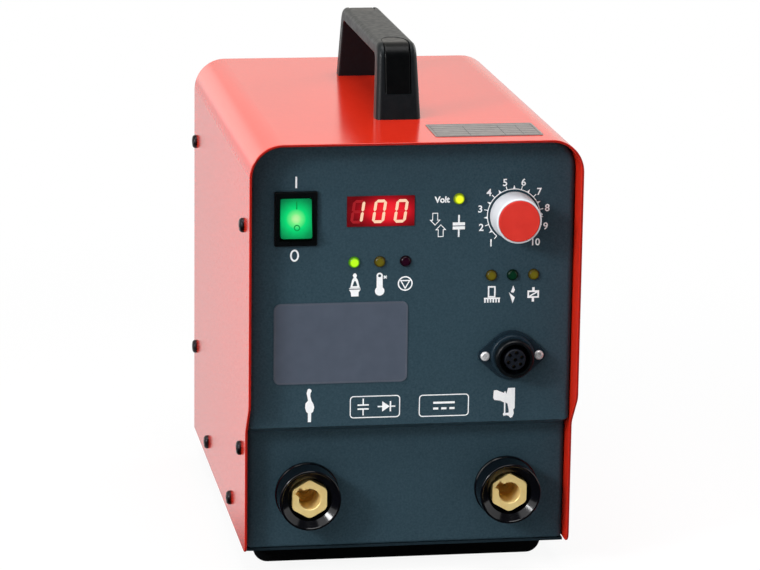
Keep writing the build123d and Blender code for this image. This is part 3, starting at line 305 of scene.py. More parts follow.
coat_variation = 0.15
# Normal y over which the hood's front-facing faces go from full painted shade to none
front_shade_facing = (-0.85, -0.35)
tone_spread = (0.85, 1.15)
shell_variation = 0.25
flange_height = 5.9
flange_fade = 0.4
lens_share = 0.84
lens_core = 0.6
lens_rim = 0.97
rocker_lamp = (-0.2, 0, 0.6)
rocker_reach = 15.0
rocker_glow = 0.8
display_bright = (4.0, 0, 0)
display_reach = 13.0
display_glow = 0.9
segment_fade = 0.94


def red_powder_coat():
    """Glossy red, with painted shade on the faces that look to the front, the sheet's front edge."""
    made = Finish("red_powder_coat", 0.16, specular=0.38)
    facing = made.node("ShaderNodeSeparateXYZ")
    made.link(made.node("ShaderNodeNewGeometry").outputs["Normal"], facing.inputs[0])
    # Painted shade: faces that look to the front are darkened
    edge = made.spread(facing.outputs["Y"], 1, 0, *front_shade_facing)
    shade = made.node("ShaderNodeMath", operation="MULTIPLY_ADD")
    shade.inputs[1].default_value = coat_variation
    made.link(made.noise(6.0), shade.inputs[0])
    made.link(edge, shade.inputs[2])
    # The last stop is the painted shade of the front-facing edge
    stops = [
        (0.0, (0.70, 0.022, 0.007)),
        (coat_variation, (0.74, 0.027, 0.009)),
        (1.0, (0.34, 0.009, 0.005)),
    ]
    made.link(made.ramp(shade.outputs[0], stops), made.shader.inputs["Base Color"])
    made.gloss(made.noise(2.5), 0.13, 0.19)
    return made.relief(made.noise(0.5, 2.0), 0.006, 0.3).material


def anthracite_coat():
    made = Finish("anthracite_coat", 0.5, specular=0.1)
    made.colour(made.noise(1.2), (0.023, 0.050, 0.068), (0.036, 0.070, 0.092))
    made.gloss(made.noise(3.0), 0.42, 0.52)
    return made.relief(made.noise(0.5, 2.0), 0.012, 0.3).material


def black_plastic(name, tone, roughness, grain_mm, depth_mm, specular=0.5):
    made = Finish(name, roughness, specular=specular)
    dark, light = [[t * share for t in tone] for share in tone_spread]
    made.colour(made.noise(grain_mm * 3), dark, light)
    made.gloss(made.noise(grain_mm * 6), roughness * 0.9, roughness * 1.12)
    return made.relief(made.noise(grain_mm, 2.0), depth_mm, 0.5).material


def metal(name, dark, light, roughness, stretch=(1, 1, 1), grain_mm=1.2, depth_mm=0.004, metallic=1.0):
    made = Finish(name, roughness, metallic=metallic)
    made.colour(made.noise(grain_mm * 4), dark, light)
    made.gloss(made.noise(grain_mm, 3.0, stretch), roughness * 0.85, roughness * 1.15)
    return made.relief(made.noise(grain_mm * 0.4, 2.0, stretch), depth_mm, 0.2).material


def machined_brass():
    """Turned brass with a dull skin, so that part of it scatters light."""
    made = Finish("brass", 0.34, metallic=0.3)
    made.colour(made.noise(5.0), (0.96, 0.70, 0.27), (1.0, 0.78, 0.34))
    made.gloss(made.noise(3.0), 0.30, 0.38)
    return made.relief(made.noise(0.5, 2.0), 0.0006, 0.2).material


def socket_shell():
    """A dark grey cast flange that carries a black collar."""
    made = Finish("socket_shell", 0.3, specular=0.2)
    above = made.away_from(Vector((0, panel_face, 0)), (0, 1, 0))
    worn = made.node("ShaderNodeMath", operation="MULTIPLY_ADD")
    worn.inputs[1].default_value = shell_variation
    made.link(made.noise(2.0), worn.inputs[0])
    made.link(made.spread(above, 0, 1, flange_height, flange_height + flange_fade), worn.inputs[2])
    stops = [
        (0.0, (0.009, 0.020, 0.030)),
        (shell_variation, (0.011, 0.024, 0.036)),
        (1.0, (0.002, 0.003, 0.004)),
    ]
    made.link(made.ramp(worn.outputs[0], stops), made.shader.inputs["Base Color"])
    made.gloss(made.noise(4.0), 0.26, 0.36)
    return made.relief(made.noise(0.8, 2.0), 0.006, 0.4).material


def film(name, dark, light, roughness, specular=0.5):
    made = Finish(name, roughness, specular=specular)
    made.colour(made.noise(9.0), dark, light)
    made.gloss(made.noise(4.0), roughness * 0.9, roughness * 1.15)
    return made.relief(made.noise(0.4, 2.0), 0.004, 0.3).material


def white_print():
    made = Finish("white_print", 0.55, specular=0.3)
    made.colour(made.noise(0.9), (0.88, 0.90, 0.92), (0.95, 0.96, 0.97))
    return made.relief(made.noise(0.4, 2.0), 0.015, 0.4).material


def lamp(node, core, rim, strength, plastic):
    """A round lens that glows brightest at its middle; on the lamps that are off this faint glow is painted light.
    """
    made = Finish("lens_" + node, 0.14, specular=0.2)
    reach = made.away_from(middle(node), (1, 0, 1))
    radius = (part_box(node)[1].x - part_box(node)[0].x) / 2 / MM
    made.link(
        made.ramp(made.spread(reach, 0, 1, 0, radius), [(0.0, plastic), (1.0, [t * 0.5 for t in plastic])]),
        made.shader.inputs["Base Color"],
    )
    fade = made.spread(reach, 0, 1, 0, radius * lens_share)
    made.glow(made.ramp(fade, [(0.0, core), (lens_core, core), (lens_rim, rim)]), strength)
    return made.relief(made.noise(1.5), 0.01, 0.2).material


def rocker_green():
    """Green translucent plastic with a lamp behind its middle."""
    pivot = Vector(joints["switch_tip"]["pos_m"])
    made = Finish("rocker_green", 0.3, specular=0.2)
    made.colour(made.noise(3.0), (0.001, 0.09, 0.026), (0.002, 0.12, 0.034))
    spot = made.away_from(pivot + Vector(rocker_lamp) * MM, (1, 0, 1))
    stops = [
        (0.0, (0.62, 1.0, 0.42)),
        (0.12, (0.20, 0.95, 0.26)),
        (0.34, (0.0, 0.76, 0.19)),
        (1.0, (0.0, 0.11, 0.04)),
    ]
    made.glow(made.ramp(made.spread(spot, 0, 1, 0, rocker_reach), stops), rocker_glow)
    return made.relief(made.noise(1.2), 0.02, 0.3).material


def rocker_mark():
    made = Finish("rocker_mark", 0.35, specular=0.2)
    made.colour(made.noise(1.0), (0.001, 0.05, 0.018), (0.002, 0.07, 0.024))
    stops = [(0.3, (0.0, 0.29, 0.05)), (0.7, (0.0, 0.33, 0.06))]
    return made.glow(made.ramp(made.noise(1.0), stops), rocker_glow).material


def display_red():
    """A dark red window, lit from behind by its digits."""
    made = Finish("display_red", 0.2, specular=0.15)
    made.colour(made.noise(4.0), (0.05, 0.002, 0.004), (0.07, 0.003, 0.005))
    reach = made.away_from(middle("display_window") + Vector(display_bright) * MM, (0.5, 0, 1))
    stops = [
        (0.0, (0.95, 0.02, 0.03)),
        (0.35, (0.82, 0.012, 0.024)),
        (0.65, (0.38, 0.004, 0.01)),
        (1.0, (0.09, 0.001, 0.002)),
    ]
    made.glow(made.ramp(made.spread(reach, 0, 1, 0, display_reach), stops), display_glow)
    return made.relief(made.noise(2.0), 0.01, 0.2).material


def lit_segment(name, core, strength):
    made = Finish(name, 0.4)
    made.colour(made.noise(0.8), (0.04, 0.002, 0.003), (0.06, 0.003, 0.004))
    made.glow(made.ramp(made.noise(1.0), [(0.3, core), (0.7, [c * segment_fade for c in core])]), strength)
    return made.material


def board_green():
    made = Finish("board_green", 0.35)
    made.colour(made.noise(2.0, 1.0, (1, 1, 5)), (0.008, 0.09, 0.035), (0.02, 0.16, 0.06))
    return made.relief(made.noise(1.0), 0.03, 0.5).material


def winding():
    made = Finish("winding", 0.45)
    made.colour(made.noise(1.6, 2.0, (1, 1, 0.05)), (0.34, 0.20, 0.04), (0.66, 0.45, 0.12))
    return made.relief(made.noise(0.9, 1.0, (1, 1, 0.05)), 0.2, 0.8).material


finishes = {
    "red_powder_coat": red_powder_coat(),
    "anthracite_coat": anthracite_coat(),
    "black_oxide_steel": metal("black_oxide_steel", (0.012, 0.012, 0.014), (0.03, 0.03, 0.034), 0.4),
    "black_rubber": black_plastic("black_rubber", (0.002, 0.0025, 0.003), 0.75, 0.8, 0.05, 0.06),
    "black_handle": black_plastic("black_handle", (0.004, 0.0065, 0.008), 0.40, 0.6, 0.008, 0.18),
    "black_gloss": black_plastic("black_gloss", (0.0008, 0.0009, 0.0022), 0.13, 2.0, 0.003, 0.33),
    "zinc_steel": metal("zinc_steel", (0.50, 0.50, 0.51), (0.66, 0.66, 0.67), 0.32),
    "label_film": film("label_film", (0.069, 0.086, 0.120), (0.079, 0.098, 0.136), 0.32),
    "plate_film": film("plate_film", (0.165, 0.15, 0.145), (0.2, 0.18, 0.175), 0.38),
    "display_red": display_red(),
    "rocker_green": rocker_green(),
    "display_body": black_plastic("display_body", (0.02, 0.02, 0.02), 0.6, 1.0, 0.02),
    "board_green": board_green(),
    "knob_grey": film("knob_grey", (0.68, 0.72, 0.76), (0.74, 0.77, 0.81), 0.36),
    "knob_red": film("knob_red", (0.65, 0.028, 0.018), (0.71, 0.034, 0.022), 0.42, 0.3),
    "brass": machined_brass(),
    "copper": metal("copper", (0.62, 0.28, 0.15), (0.74, 0.38, 0.23), 0.28),
    "can_aluminium": film("can_aluminium", (0.015, 0.025, 0.07), (0.02, 0.035, 0.09), 0.3),
    "grey_plastic": black_plastic("grey_plastic", (0.03, 0.03, 0.033), 0.5, 0.8, 0.03),
    "winding": winding(),
    "chrome_wire": metal("chrome_wire", (0.62, 0.63, 0.65), (0.74, 0.75, 0.77), 0.14),
}

own_finishes = {
    "handle_caps": black_plastic("cap_black", (0.0008, 0.0013, 0.0016), 0.34, 0.8, 0.006, 0.12),
    "control_socket_shell": socket_shell(),
    "base_tray": black_plastic("tray_coat", (0.010, 0.021, 0.029), 0.5, 0.6, 0.012, 0.1),
    "control_socket_screws": metal(
        "screw_bright", (0.86, 0.86, 0.87), (0.95, 0.95, 0.96), 0.4, depth_mm=0.001, metallic=0.5
    ),
    "switch_housing": black_plastic("switch_black", (0.002, 0.003, 0.0035), 0.3, 0.8, 0.006, 0.12),
    "control_socket_insert": black_plastic("insert_black", (0.006, 0.008, 0.013), 0.5, 0.8, 0.01, 0.15),
}

# Glow at the middle and at the rim, strength and lens colour. Only led_volt and led_ready are lit; the faint glow
# of the others is painted light.
lamps = {
    "led_volt": ((0.86, 1.0, 0.02), (0.10, 0.16, 0.0), 1.0, (0.12, 0.13, 0.01)),
    "led_ready": ((0.48, 1.0, 0.01), (0.03, 0.15, 0.0), 1.0, (0.06, 0.12, 0.01)),
    "led_heat": ((0.09, 0.085, 0.004), (0.01, 0.008, 0.0), 0.6, (0.08, 0.06, 0.006)),
    "led_stop": ((0.012, 0.0, 0.006), (0.002, 0.0, 0.001), 0.5, (0.012, 0.002, 0.006)),
    "led_contact": ((0.09, 0.085, 0.004), (0.01, 0.008, 0.0), 0.6, (0.08, 0.06, 0.006)),
    "led_charge": ((0.001, 0.02, 0.008), (0.0, 0.005, 0.002), 0.5, (0.002, 0.02, 0.009)),
    "led_relay": ((0.09, 0.085, 0.004), (0.01, 0.008, 0.0), 0.6, (0.08, 0.06, 0.006)),
}

for node, part in nodes.items():
    coat = lamp(node, *lamps[node]) if node in lamps else own_finishes.get(node, finishes[slot_of[node]])
    part.data.materials.clear()
    part.data.materials.append(coat)

white = white_print()
front = on_front(panel_face)


# Print round the switch, the display and the dial

switch_x, switch_z = panel_place("switch_housing")
mark_stroke = 1.05
zero_outer = (2.7, 3.65)
zero_inner_squash = 0.62
mark_above = 21.9
mark_below = 22.4
bar_half = 3.45
bar_shift = 0.2
zero_shift = -0.5

switch_print = Print(front, (switch_x, switch_z))
switch_print.ribbon([(bar_shift, mark_above - bar_half), (bar_shift, mark_above + bar_half)], mark_stroke)
switch_print.strip(
    circle((zero_shift, -mark_below), zero_outer[1], zero_outer[0] / zero_outer[1]),
    circle((zero_shift, -mark_below), zero_outer[1] - mark_stroke, zero_inner_squash),
    True,
)
switch_print.build("print_switch", white)

knob = joints["dial_turn"]["pos_m"]
dial_centre = (knob[0] / MM, (knob[2] - case_base) / MM)
dial_numbers = 10
dial_radius = 16.0
dial_sweep = 141.0
dial_line = 0.5
tick_reach = 18.3
number_radius = 20.8
end_number_radius = 21.4
number_height = 4.4
number_bold = 0.018
half_tick = 3
step_angle = 2 * dial_sweep / (dial_numbers - 1)
arc_points = 61

scale_print = Print(front, dial_centre)
arc_turns = [-dial_sweep + 2 * dial_sweep * i / (arc_points - 1) for i in range(arc_points)]
scale_print.ribbon([dial_point(dial_radius, turn) for turn in arc_turns], dial_line)
for number in range(dial_numbers):
    angle = -dial_sweep + step_angle * number
    scale_print.ribbon([dial_point(dial_radius, angle), dial_point(tick_reach, angle)], dial_line)
    if number < dial_numbers - 1:
        half = angle + step_angle / 2
        foot = [dial_point(dial_radius, half + side * half_tick) for side in (-1, 1)]
        scale_print.polygon([foot[0], dial_point(tick_reach, half), foot[1]])
scale_print.build("print_dial_scale", white)

number_print = Print(front, dial_centre)
for number in range(dial_numbers):
    reach = end_number_radius if number in (0, dial_numbers - 1) else number_radius
    at = dial_point(reach, -dial_sweep + step_angle * number)
    number_print.text(str(number + 1), at, number_height, number_bold)
number_print.build("print_dial_numbers", white)

volt_at = (17.3, 216.8)
volt_height = 3.95
volt_bold = 0.035
arrow_down = (13.2, 205.0)
arrow_up = (16.7, 197.9)
arrow_half = 3.6
arrow_head = 3.0
arrow_wing = 2.85
arrow_shaft = 1.5
arrow_line = 0.45

Print(front).text("Volt", volt_at, volt_height, volt_bold).build("print_volt", white)


def arrow_outline(way):
    """An arrow's outline about its middle, pointing up for way 1 and down for way -1."""
    neck = arrow_half - arrow_head
    side = [(arrow_shaft, -arrow_half), (arrow_shaft, neck), (arrow_wing, neck)]
    outline = side + [(0, arrow_half)] + [(-x, y) for x, y in reversed(side)]
    return [(x, y * way) for x, y in outline]


Print(front, arrow_down).ribbon(arrow_outline(-1), arrow_line, True).build("print_arrow_down", white)
Print(front, arrow_up).ribbon(arrow_outline(1), arrow_line, True).build("print_arrow_up", white)


def capacitor_symbol(drawn, at, half_width, plate, gap, reach, stem):
    """Two plates with a stem on each."""
    for way in (1, -1):
        inner, outer = gap / 2 * way, (gap / 2 + plate) * way
        x, y = at
        left, right = x - half_width, x + half_width
        drawn.polygon([(left, y + inner), (right, y + inner), (right, y + outer), (left, y + outer)])
        drawn.ribbon([(x, y + outer), (x, y + reach * way)], stem)


capacitor_mark = Print(front, (27.6, 200.6))
capacitor_symbol(capacitor_mark, (0, 0), half_width=3.7, plate=1.9, gap=0.55, reach=6.7, stem=1.0)
capacitor_mark.build("print_capacitor", white)


# Symbols under the lamps

nozzle = Print(front, (-34.8, 166.1))
nozzle.strip(
    [(-0.6, 4.4), (0.8, 4.4), (1.8, 2.9), (3.0, -1.6), (-2.6, -1.6), (-1.6, 2.9)],
    [(-0.1, 2.2), (0.4, 2.2), (0.7, 1.9), (1.6, -0.9), (-1.3, -0.9), (-0.4, 1.9)],
    True,
)
nozzle.polygon([(-0.5, 4.3), (-1.2, 5.5), (-0.8, 6.6), (0.0, 7.1), (0.8, 6.6), (1.3, 5.5), (0.8, 4.3)])
nozzle.polygon([(-2.6, -1.7), (3.0, -1.7), (3.7, -2.4), (-3.5, -2.4)])
nozzle.polygon([(-3.5, -3.0), (3.7, -3.0), (2.4, -4.6), (2.4, -7.2), (-2.0, -7.2), (-2.4, -4.6)])
nozzle.build("print_nozzle", white)

thermometer = Print(front, (-19.7, 165.8))
thermometer.ring((-0.1, 5.4), 1.9, 0.9)
thermometer.polygon([(-1.9, 5.0), (-0.9, 4.4), (0.7, 4.4), (1.7, 5.0), (1.8, -2.0), (-1.9, -2.0)])
thermometer.disc((0.0, -3.9), 2.85)
thermometer.ribbon([(2.4, 5.3), (4.1, 3.7)], 0.7)
thermometer.ribbon([(2.4, 3.7), (4.1, 5.3)], 0.7)
thermometer.build("print_thermometer", white)

stop = Print(front, (-4.3, 166.1))
stop.ring((0, 0), 4.5, 3.7)
stop.ribbon([(-2.7, 1.8), (2.7, 1.8), (0, -2.9)], 0.7, True)
stop.build("print_stop", white)

tooth_count = 6
tooth_start = -4.0
tooth_pitch = 1.7
contact = Print(front, (48.4, 158.2))
contact.ribbon([(-1.9, 4.5), (1.9, 4.5), (1.9, -1.6), (-1.9, -1.6)], 0.9, True)
contact.ribbon([(-4.7, -2.6), (5.2, -2.6)], 0.9)
for tooth in range(tooth_count):
    x = tooth_start + tooth * tooth_pitch
    contact.ribbon([(x, -3.0), (x, -5.2)], 0.95)
contact.build("print_contact", white)

bolt = Print(front, (61.1, 157.9))
bolt.polygon([(0.4, 5.4), (1.5, 2.6), (0.6, 0.8), (-1.0, 1.3)])
bolt.polygon([(-2.2, 1.2), (1.5, -2.0), (0.2, -5.7), (-0.9, -2.2)])
bolt.build("print_bolt", white)

relay = Print(front, (73.8, 157.6))
relay.ribbon([(-3.0, 1.8), (3.1, 1.8), (3.1, -1.8), (-3.0, -1.8)], 1.0, True)
relay.ribbon([(-2.6, -1.5), (2.7, 1.5)], 0.8)
relay.ribbon([(0.1, 2.2), (0.1, 4.3)], 1.5)
relay.ribbon([(-0.1, -2.2), (-0.1, -4.6)], 1.4)
relay.build("print_relay", white)


# Symbols above the weld sockets, with two frames between them

electrode = Print(front, (-61.4, 92.3))
electrode.polygon(
    [
        (-0.9, -10.3), (1.0, -10.3), (1.1, -4.8), (2.2, -3.9), (2.9, -1.2), (2.4, 0.9), (1.2, 3.0),
        (0.5, 5.5), (0.5, 7.4), (1.3, 9.0), (0.8, 10.1), (-0.3, 10.5), (-1.2, 9.9), (-1.8, 7.5),
        (-1.2, 5.1), (-0.9, 3.0), (-2.4, 1.3), (-2.6, -1.5), (-1.9, -3.8), (-0.9, -4.8),
    ]
)
electrode.build("print_electrode", white)

gun = Print(front, (57.4, 90.2))
gun.polygon(
    [
        (2.3, 9.4), (6.6, 9.4), (6.7, -3.2), (5.8, -4.2), (6.2, -6.6), (5.3, -8.8), (4.1, -9.4),
        (3.0, -8.1), (1.7, -7.6), (1.7, -6.2), (3.0, -6.0), (3.0, -4.6), (2.2, -0.4), (0.9, 0.4),
        (0.8, 5.0), (1.4, 5.8),
    ]
)
gun.polygon(
    [(0.9, 0.4), (1.0, -6.2), (1.7, -6.2), (1.7, -7.6), (-0.1, -8.0), (-0.6, -6.8), (0.1, -5.8), (0.0, 0.4)]
)
gun.polygon(
    [
        (0.9, 0.4), (0.0, 0.4), (-2.2, 1.6), (-6.0, 2.2), (-6.7, 3.4), (-6.4, 8.1), (-4.7, 8.3),
        (-0.2, 6.4), (0.5, 7.7), (1.4, 5.8), (0.8, 5.0),
    ]
)
gun.build("print_gun", white)

frame_size = (30.0, 13.2)
frame_round = 2.0
frame_line = 0.6
frame_left = (-21.6, 90.4)
frame_right = (20.5, 90.0)

for name, centre in (("left", frame_left), ("right", frame_right)):
    outline = rounded_rectangle(frame_size, frame_round)
    Print(front, centre).ribbon(outline, frame_line, True).build("print_frame_" + name, white)

pulse = Print(front, frame_left)
capacitor_symbol(pulse, (-7.2, 0), half_width=3.4, plate=0.9, gap=1.6, reach=5.2, stem=0.8)
pulse.ribbon([(1.6, 0), (4.4, 0)], 0.8)
pulse.polygon([(4.4, 3.2), (9.0, 0), (4.4, -3.2)])
pulse.ribbon([(9.4, 3.2), (9.4, -3.2)], 0.9)
pulse.ribbon([(9.8, 0), (12.4, 0)], 0.8)
pulse.build("print_pulse_symbol", white)

dash_pitch = 5.0
dash_half = 1.6
direct = Print(front, frame_right)
direct.ribbon([(-6.6, 1.7), (6.6, 1.7)], 1.3)
for dash in (-1, 0, 1):
    direct.ribbon([(dash * dash_pitch - dash_half, -1.9), (dash * dash_pitch + dash_half, -1.9)], 1.3)
direct.build("print_direct_current", white)


# Display digits

display_centre = panel_place("display_window")
digit_pitch = 13.0
digit_shift = -0.9
digit_half = (2.85, 6.25)
digit_stroke = 1.7
digit_slant = math.tan(math.radians(8.0))
segment_gap = 0.06
segment_ends = {
    "top": ((-1, 1), (1, 1)),
    "upper_left": ((-1, 1), (-1, 0)),
    "upper_right": ((1, 1), (1, 0)),
    "middle": ((-1, 0), (1, 0)),
    "lower_left": ((-1, 0), (-1, -1)),
    "lower_right": ((1, 0), (1, -1)),
    "bottom": ((-1, -1), (1, -1)),
}
lit_cells = [
    {"upper_right", "lower_right"},
    set(segment_ends) - {"middle"},
    set(segment_ends) - {"middle"},
]


def segment_outline(ends, shift):
    """A six-sided bar between two corners of a digit, leaning with it."""
    start, end = [Vector((x * digit_half[0], y * digit_half[1])) for x, y in ends]
    along = (end - start).normalized()
    side = Vector((-along.y, along.x)) * digit_stroke / 2
    start, end = start + along * segment_gap, end - along * segment_gap
    inner = along * digit_stroke / 2
    upper = [start + inner + side, end - inner + side]
    lower = [end - inner - side, start + inner - side]
    points = [start, *upper, end, *lower]
    return [(p.x + p.y * digit_slant + shift, p.y) for p in points]


digits_lit = Print(on_front(window_face), display_centre)
digits_dim = Print(on_front(window_face), display_centre)
digits_faint = Print(on_front(window_face), display_centre)
for cell, lit in enumerate(lit_cells):
    for name, ends in segment_ends.items():
        drawn = digits_lit if name in lit else digits_faint if cell else digits_dim
        drawn.polygon(segment_outline(ends, (cell - 1) * digit_pitch + digit_shift))
segment_lights = {
    "lit": (digits_lit, (1.0, 0.69, 0.47), 1.0),
    "dim": (digits_dim, (0.42, 0.006, 0.012), 0.8),
    "faint": (digits_faint, (0.80, 0.012, 0.024), 0.9),
}
for name, (drawn, core, strength) in segment_lights.items():
    drawn.build("display_digits_" + name, lit_segment("digit_" + name, core, strength), slot="display_red")


# Marks moulded in the rocker

pivot = Vector(joints["switch_tip"]["pos_m"])
rocker_tilt = math.radians(10.0)
rocker_out = Vector((0, -math.cos(rocker_tilt), math.sin(rocker_tilt)))
rocker_up = Vector((0, math.sin(rocker_tilt), math.cos(rocker_tilt)))
rocker_dip = 3.6
rocker_rise = 5.0
rocker_half = 11.8
rocker_bar = [(0.2, 5.6), (0.2, 10.6)]
rocker_bar_width = 0.75
rocker_ring = ((0.2, -5.4), 1.9, 1.2)
rocker_slope = (rocker_rise - rocker_dip) / rocker_half


def on_rocker(x, up, out):
    """Millimetres across and up from the pivot, on the rocker's two slopes."""
    rise = rocker_dip + rocker_slope * abs(up) + out
    return pivot + (Vector((x, 0, 0)) + rocker_out * rise + rocker_up * up) * MM


rocker_marks = Print(on_rocker)
rocker_marks.ribbon(rocker_bar, rocker_bar_width)
rocker_marks.ring(*rocker_ring)
rocker_marks.build("rocker_marks", rocker_mark(), "rocker", "rocker_green")


# Borders and fields of the bare label and rating plate


def inset_size(node, up, inset):
    """A node's width and its length along another axis, less an inset, in millimetres."""
    low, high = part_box(node)
    return tuple((high[axis] - low[axis]) / MM - inset for axis in (0, up))


label_centre = panel_place("front_label")
label_inset = 1.6
label_round = 3.2
label_line = 0.55
label_size = inset_size("front_label", 2, label_inset)
label_edge = film("label_border", (0.085, 0.098, 0.125), (0.10, 0.115, 0.145), 0.4)
border = Print(on_front(label_face), label_centre)
border.ribbon(rounded_rectangle(label_size, label_round), label_line, True)
border.build("label_border", label_edge, slot="label_film")

plate_centre = (middle("rating_plate").x / MM, (middle("rating_plate").y - hood_front) / MM)
plate_ink = film("plate_ink", (0.05, 0.05, 0.055), (0.07, 0.07, 0.075), 0.5)
plate_inset = 3.0
plate_round = 1.6
plate_inner = inset_size("rating_plate", 1, plate_inset)
plate_line = 0.4
plate_rows = 6
plate_columns = (-0.18, 0.16, 0.34)
fields = Print(on_plate, plate_centre)
fields.ribbon(rounded_rectangle(plate_inner, plate_round), plate_line, True)
for row in range(1, plate_rows):
    y = plate_inner[1] * (row / plate_rows - 0.5)
    fields.ribbon([(-plate_inner[0] / 2, y), (plate_inner[0] / 2, y)], plate_line)
for share in plate_columns:
    x = plate_inner[0] * share
    fields.ribbon([(x, -plate_inner[1] / 2), (x, plate_inner[1] * (0.5 - 1 / plate_rows))], plate_line)
fields.build("plate_fields", plate_ink, slot="plate_film")


# Camera at the photograph's place

camera_place = (-0.34488, hood_front - 1.96953, 0.66218)
camera_turn = 0.1625
camera_drop = 0.2339
camera_roll = -0.0134
image_width = 760
focal_pixels = 3467.12
sensor_width = 36.0
camera_far = 100

ahead = Vector(
    (
        math.sin(camera_turn) * math.cos(camera_drop),
        math.cos(camera_turn) * math.cos(camera_drop),
        -math.sin(camera_drop),
    )
)
level = Vector((math.cos(camera_turn), -math.sin(camera_turn), 0))
below = ahead.cross(level)
across = level * math.cos(camera_roll) + below * math.sin(camera_roll)
upward = across.cross(ahead)
camera_data = bpy.data.cameras.new("camera")
camera_data.sensor_fit = "HORIZONTAL"
camera_data.sensor_width = sensor_width
camera_data.lens = focal_pixels / image_width * sensor_width
camera_data.clip_end = camera_far
camera = bpy.data.objects.new("camera", camera_data)
camera_axes = Matrix((across, upward, -ahead)).transposed()
camera.matrix_world = Matrix.Translation(camera_place) @ camera_axes.to_4x4()
bpy.context.scene.collection.objects.link(camera)
bpy.context.scene.camera = camera


# Stage, lights and world

aim = Vector((0, 0, 0.15))
floor_cells = 8
floor_half = 9.0
floor_matt = (0.5, 0.5, 0.5)
floor_pale = (0.95, 0.95, 0.95)
floor_rough = 0.9
floor_glow = 0.91
shadow_reach = (0.3, 0.9)
floor_gloss = 0.82
floor_dark = 0.05
table_edge = (-0.13, 0.07)
fill_level = 0.05
room_dark = 0.1
room_edge = (-0.3, 0.3)
room_colour = (1.0, 0.97, 0.91)

# Soft boxes: the way from the object, distance and size in metres, and level

soft_boxes = {
    "left_window": ((-0.74, -0.50, 0.45), 1.2, (1.4, 1.1), 0.63),
    "left_lamp": ((-0.731, -0.547, 0.411), 1.87, (0.36, 0.31), 0.46),
    "top_box": ((-0.05, -0.22, 0.97), 1.9, (1.3, 1.1), 0.75),
    "right_fill": ((0.91, -0.34, 0.24), 1.5, (1.5, 1.4), 0.36),
    "right_back": ((0.8, 0.45, 0.4), 2.0, (0.9, 0.9), 0.35),
    "back_window": ((-0.26, 0.96, 0.09), 3.0, (0.9, 0.7), 0.008),
}


def light_path(tree):
    """Sockets that are one for rays from the camera, and for rays that gloss or glass sends on."""
    path = tree.nodes.new("ShaderNodeLightPath")
    either = tree.nodes.new("ShaderNodeMath")
    either.operation = "MAXIMUM"
    tree.links.new(path.outputs["Is Glossy Ray"], either.inputs[0])
    tree.links.new(path.outputs["Is Transmission Ray"], either.inputs[1])
    return path.outputs["Is Camera Ray"], either.outputs[0]


def ease(tree, source, start, end, low, high):
    """A value that runs from low to high as the source runs from start to end."""
    made = tree.nodes.new("ShaderNodeMapRange")
    made.interpolation_type = "SMOOTHSTEP"
    for key, value in (("From Min", start), ("From Max", end), ("To Min", low), ("To Max", high)):
        made.inputs[key].default_value = value
    tree.links.new(source, made.inputs["Value"])
    return made.outputs["Result"]


def front_to_back(tree, coordinate):
    """The coordinate's y."""
    parts = tree.nodes.new("ShaderNodeSeparateXYZ")
    tree.links.new(tree.nodes.new("ShaderNodeTexCoord").outputs[coordinate], parts.inputs[0])
    return parts.outputs["Y"]


def from_middle(tree):
    """The distance from the middle of the floor."""
    length = tree.nodes.new("ShaderNodeVectorMath")
    length.operation = "LENGTH"
    tree.links.new(tree.nodes.new("ShaderNodeTexCoord").outputs["Object"], length.inputs[0])
    return length.outputs["Value"]


def join_shaders(tree, share, first, second):
    blend = tree.nodes.new("ShaderNodeMixShader")
    tree.links.new(share, blend.inputs["Fac"])
    tree.links.new(first, blend.inputs[1])
    tree.links.new(second, blend.inputs[2])
    return blend.outputs["Shader"]


def soft_light(name, way, distance, size, level):
    """A soft box that faces the object; the level is how bright it makes a white surface square to it."""
    place = aim + Vector(way).normalized() * distance
    data = bpy.data.lights.new(name, "AREA")
    data.shape = "RECTANGLE"
    data.size, data.size_y = size
    data.energy = level * (math.pi * distance) ** 2
    light = bpy.data.objects.new(name, data)
    light.location = place
    light.rotation_euler = (aim - place).to_track_quat("-Z", "Y").to_euler()
    bpy.context.scene.collection.objects.link(light)


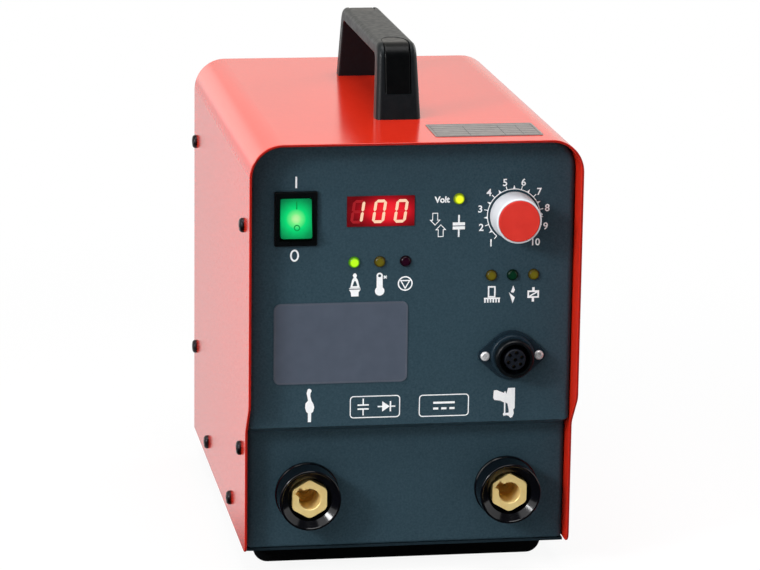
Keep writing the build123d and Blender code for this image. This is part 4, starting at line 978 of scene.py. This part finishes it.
def make_floor():
    """A pale matt floor that reads as white, and keeps the shadow; its far front is out of the light."""
    data = bpy.data.meshes.new("floor")
    shape = bmesh.new()
    bmesh.ops.create_grid(shape, x_segments=floor_cells, y_segments=floor_cells, size=floor_half)
    shape.to_mesh(data)
    shape.free()
    floor = bpy.data.objects.new("floor", data)
    bpy.context.scene.collection.objects.link(floor)
    material = bpy.data.materials.new("pale_floor")
    material.use_nodes = True
    tree = material.node_tree
    matt = tree.nodes["Principled BSDF"]
    matt.inputs["Base Color"].default_value = (*floor_matt, 1)
    matt.inputs["Roughness"].default_value = floor_rough
    white_glow = tree.nodes.new("ShaderNodeEmission")
    seen, glossy = light_path(tree)
    pale = tree.nodes.new("ShaderNodeBsdfDiffuse")
    pale.inputs["Color"].default_value = (*floor_pale, 1)
    lit = tree.nodes.new("ShaderNodeMixShader")
    tree.links.new(ease(tree, from_middle(tree), *shadow_reach, floor_glow, 1.0), lit.inputs["Fac"])
    tree.links.new(pale.outputs["BSDF"], lit.inputs[1])
    tree.links.new(white_glow.outputs["Emission"], lit.inputs[2])
    sheen = tree.nodes.new("ShaderNodeEmission")
    near = ease(tree, front_to_back(tree, "Object"), *table_edge, floor_dark, floor_gloss)
    tree.links.new(near, sheen.inputs["Strength"])
    shade = join_shaders(tree, seen, matt.outputs["BSDF"], lit.outputs["Shader"])
    shade = join_shaders(tree, glossy, shade, sheen.outputs["Emission"])
    tree.links.new(shade, tree.nodes["Material Output"].inputs["Surface"])
    data.materials.append(material)


def make_world():
    """White to the camera, a dim fill as light, and in gloss white behind the object and dark in front."""
    world = bpy.data.worlds.new("studio")
    bpy.context.scene.world = world
    world.use_nodes = True
    tree = world.node_tree
    fill = tree.nodes["Background"]
    fill.inputs["Color"].default_value = (1, 1, 1, 1)
    fill.inputs["Strength"].default_value = fill_level
    backdrop = tree.nodes.new("ShaderNodeBackground")
    backdrop.inputs["Color"].default_value = (1, 1, 1, 1)
    room = tree.nodes.new("ShaderNodeBackground")
    room.inputs["Color"].default_value = (*room_colour, 1)
    brightness = ease(tree, front_to_back(tree, "Generated"), *room_edge, room_dark, 1.0)
    tree.links.new(brightness, room.inputs["Strength"])
    seen, glossy = light_path(tree)
    shade = join_shaders(tree, glossy, fill.outputs["Background"], room.outputs["Background"])
    shade = join_shaders(tree, seen, shade, backdrop.outputs["Background"])
    tree.links.new(shade, tree.nodes["World Output"].inputs["Surface"])


make_floor()
make_world()
for name, box in soft_boxes.items():
    soft_light(name, *box)

bpy.context.scene.view_settings.view_transform = "Standard"
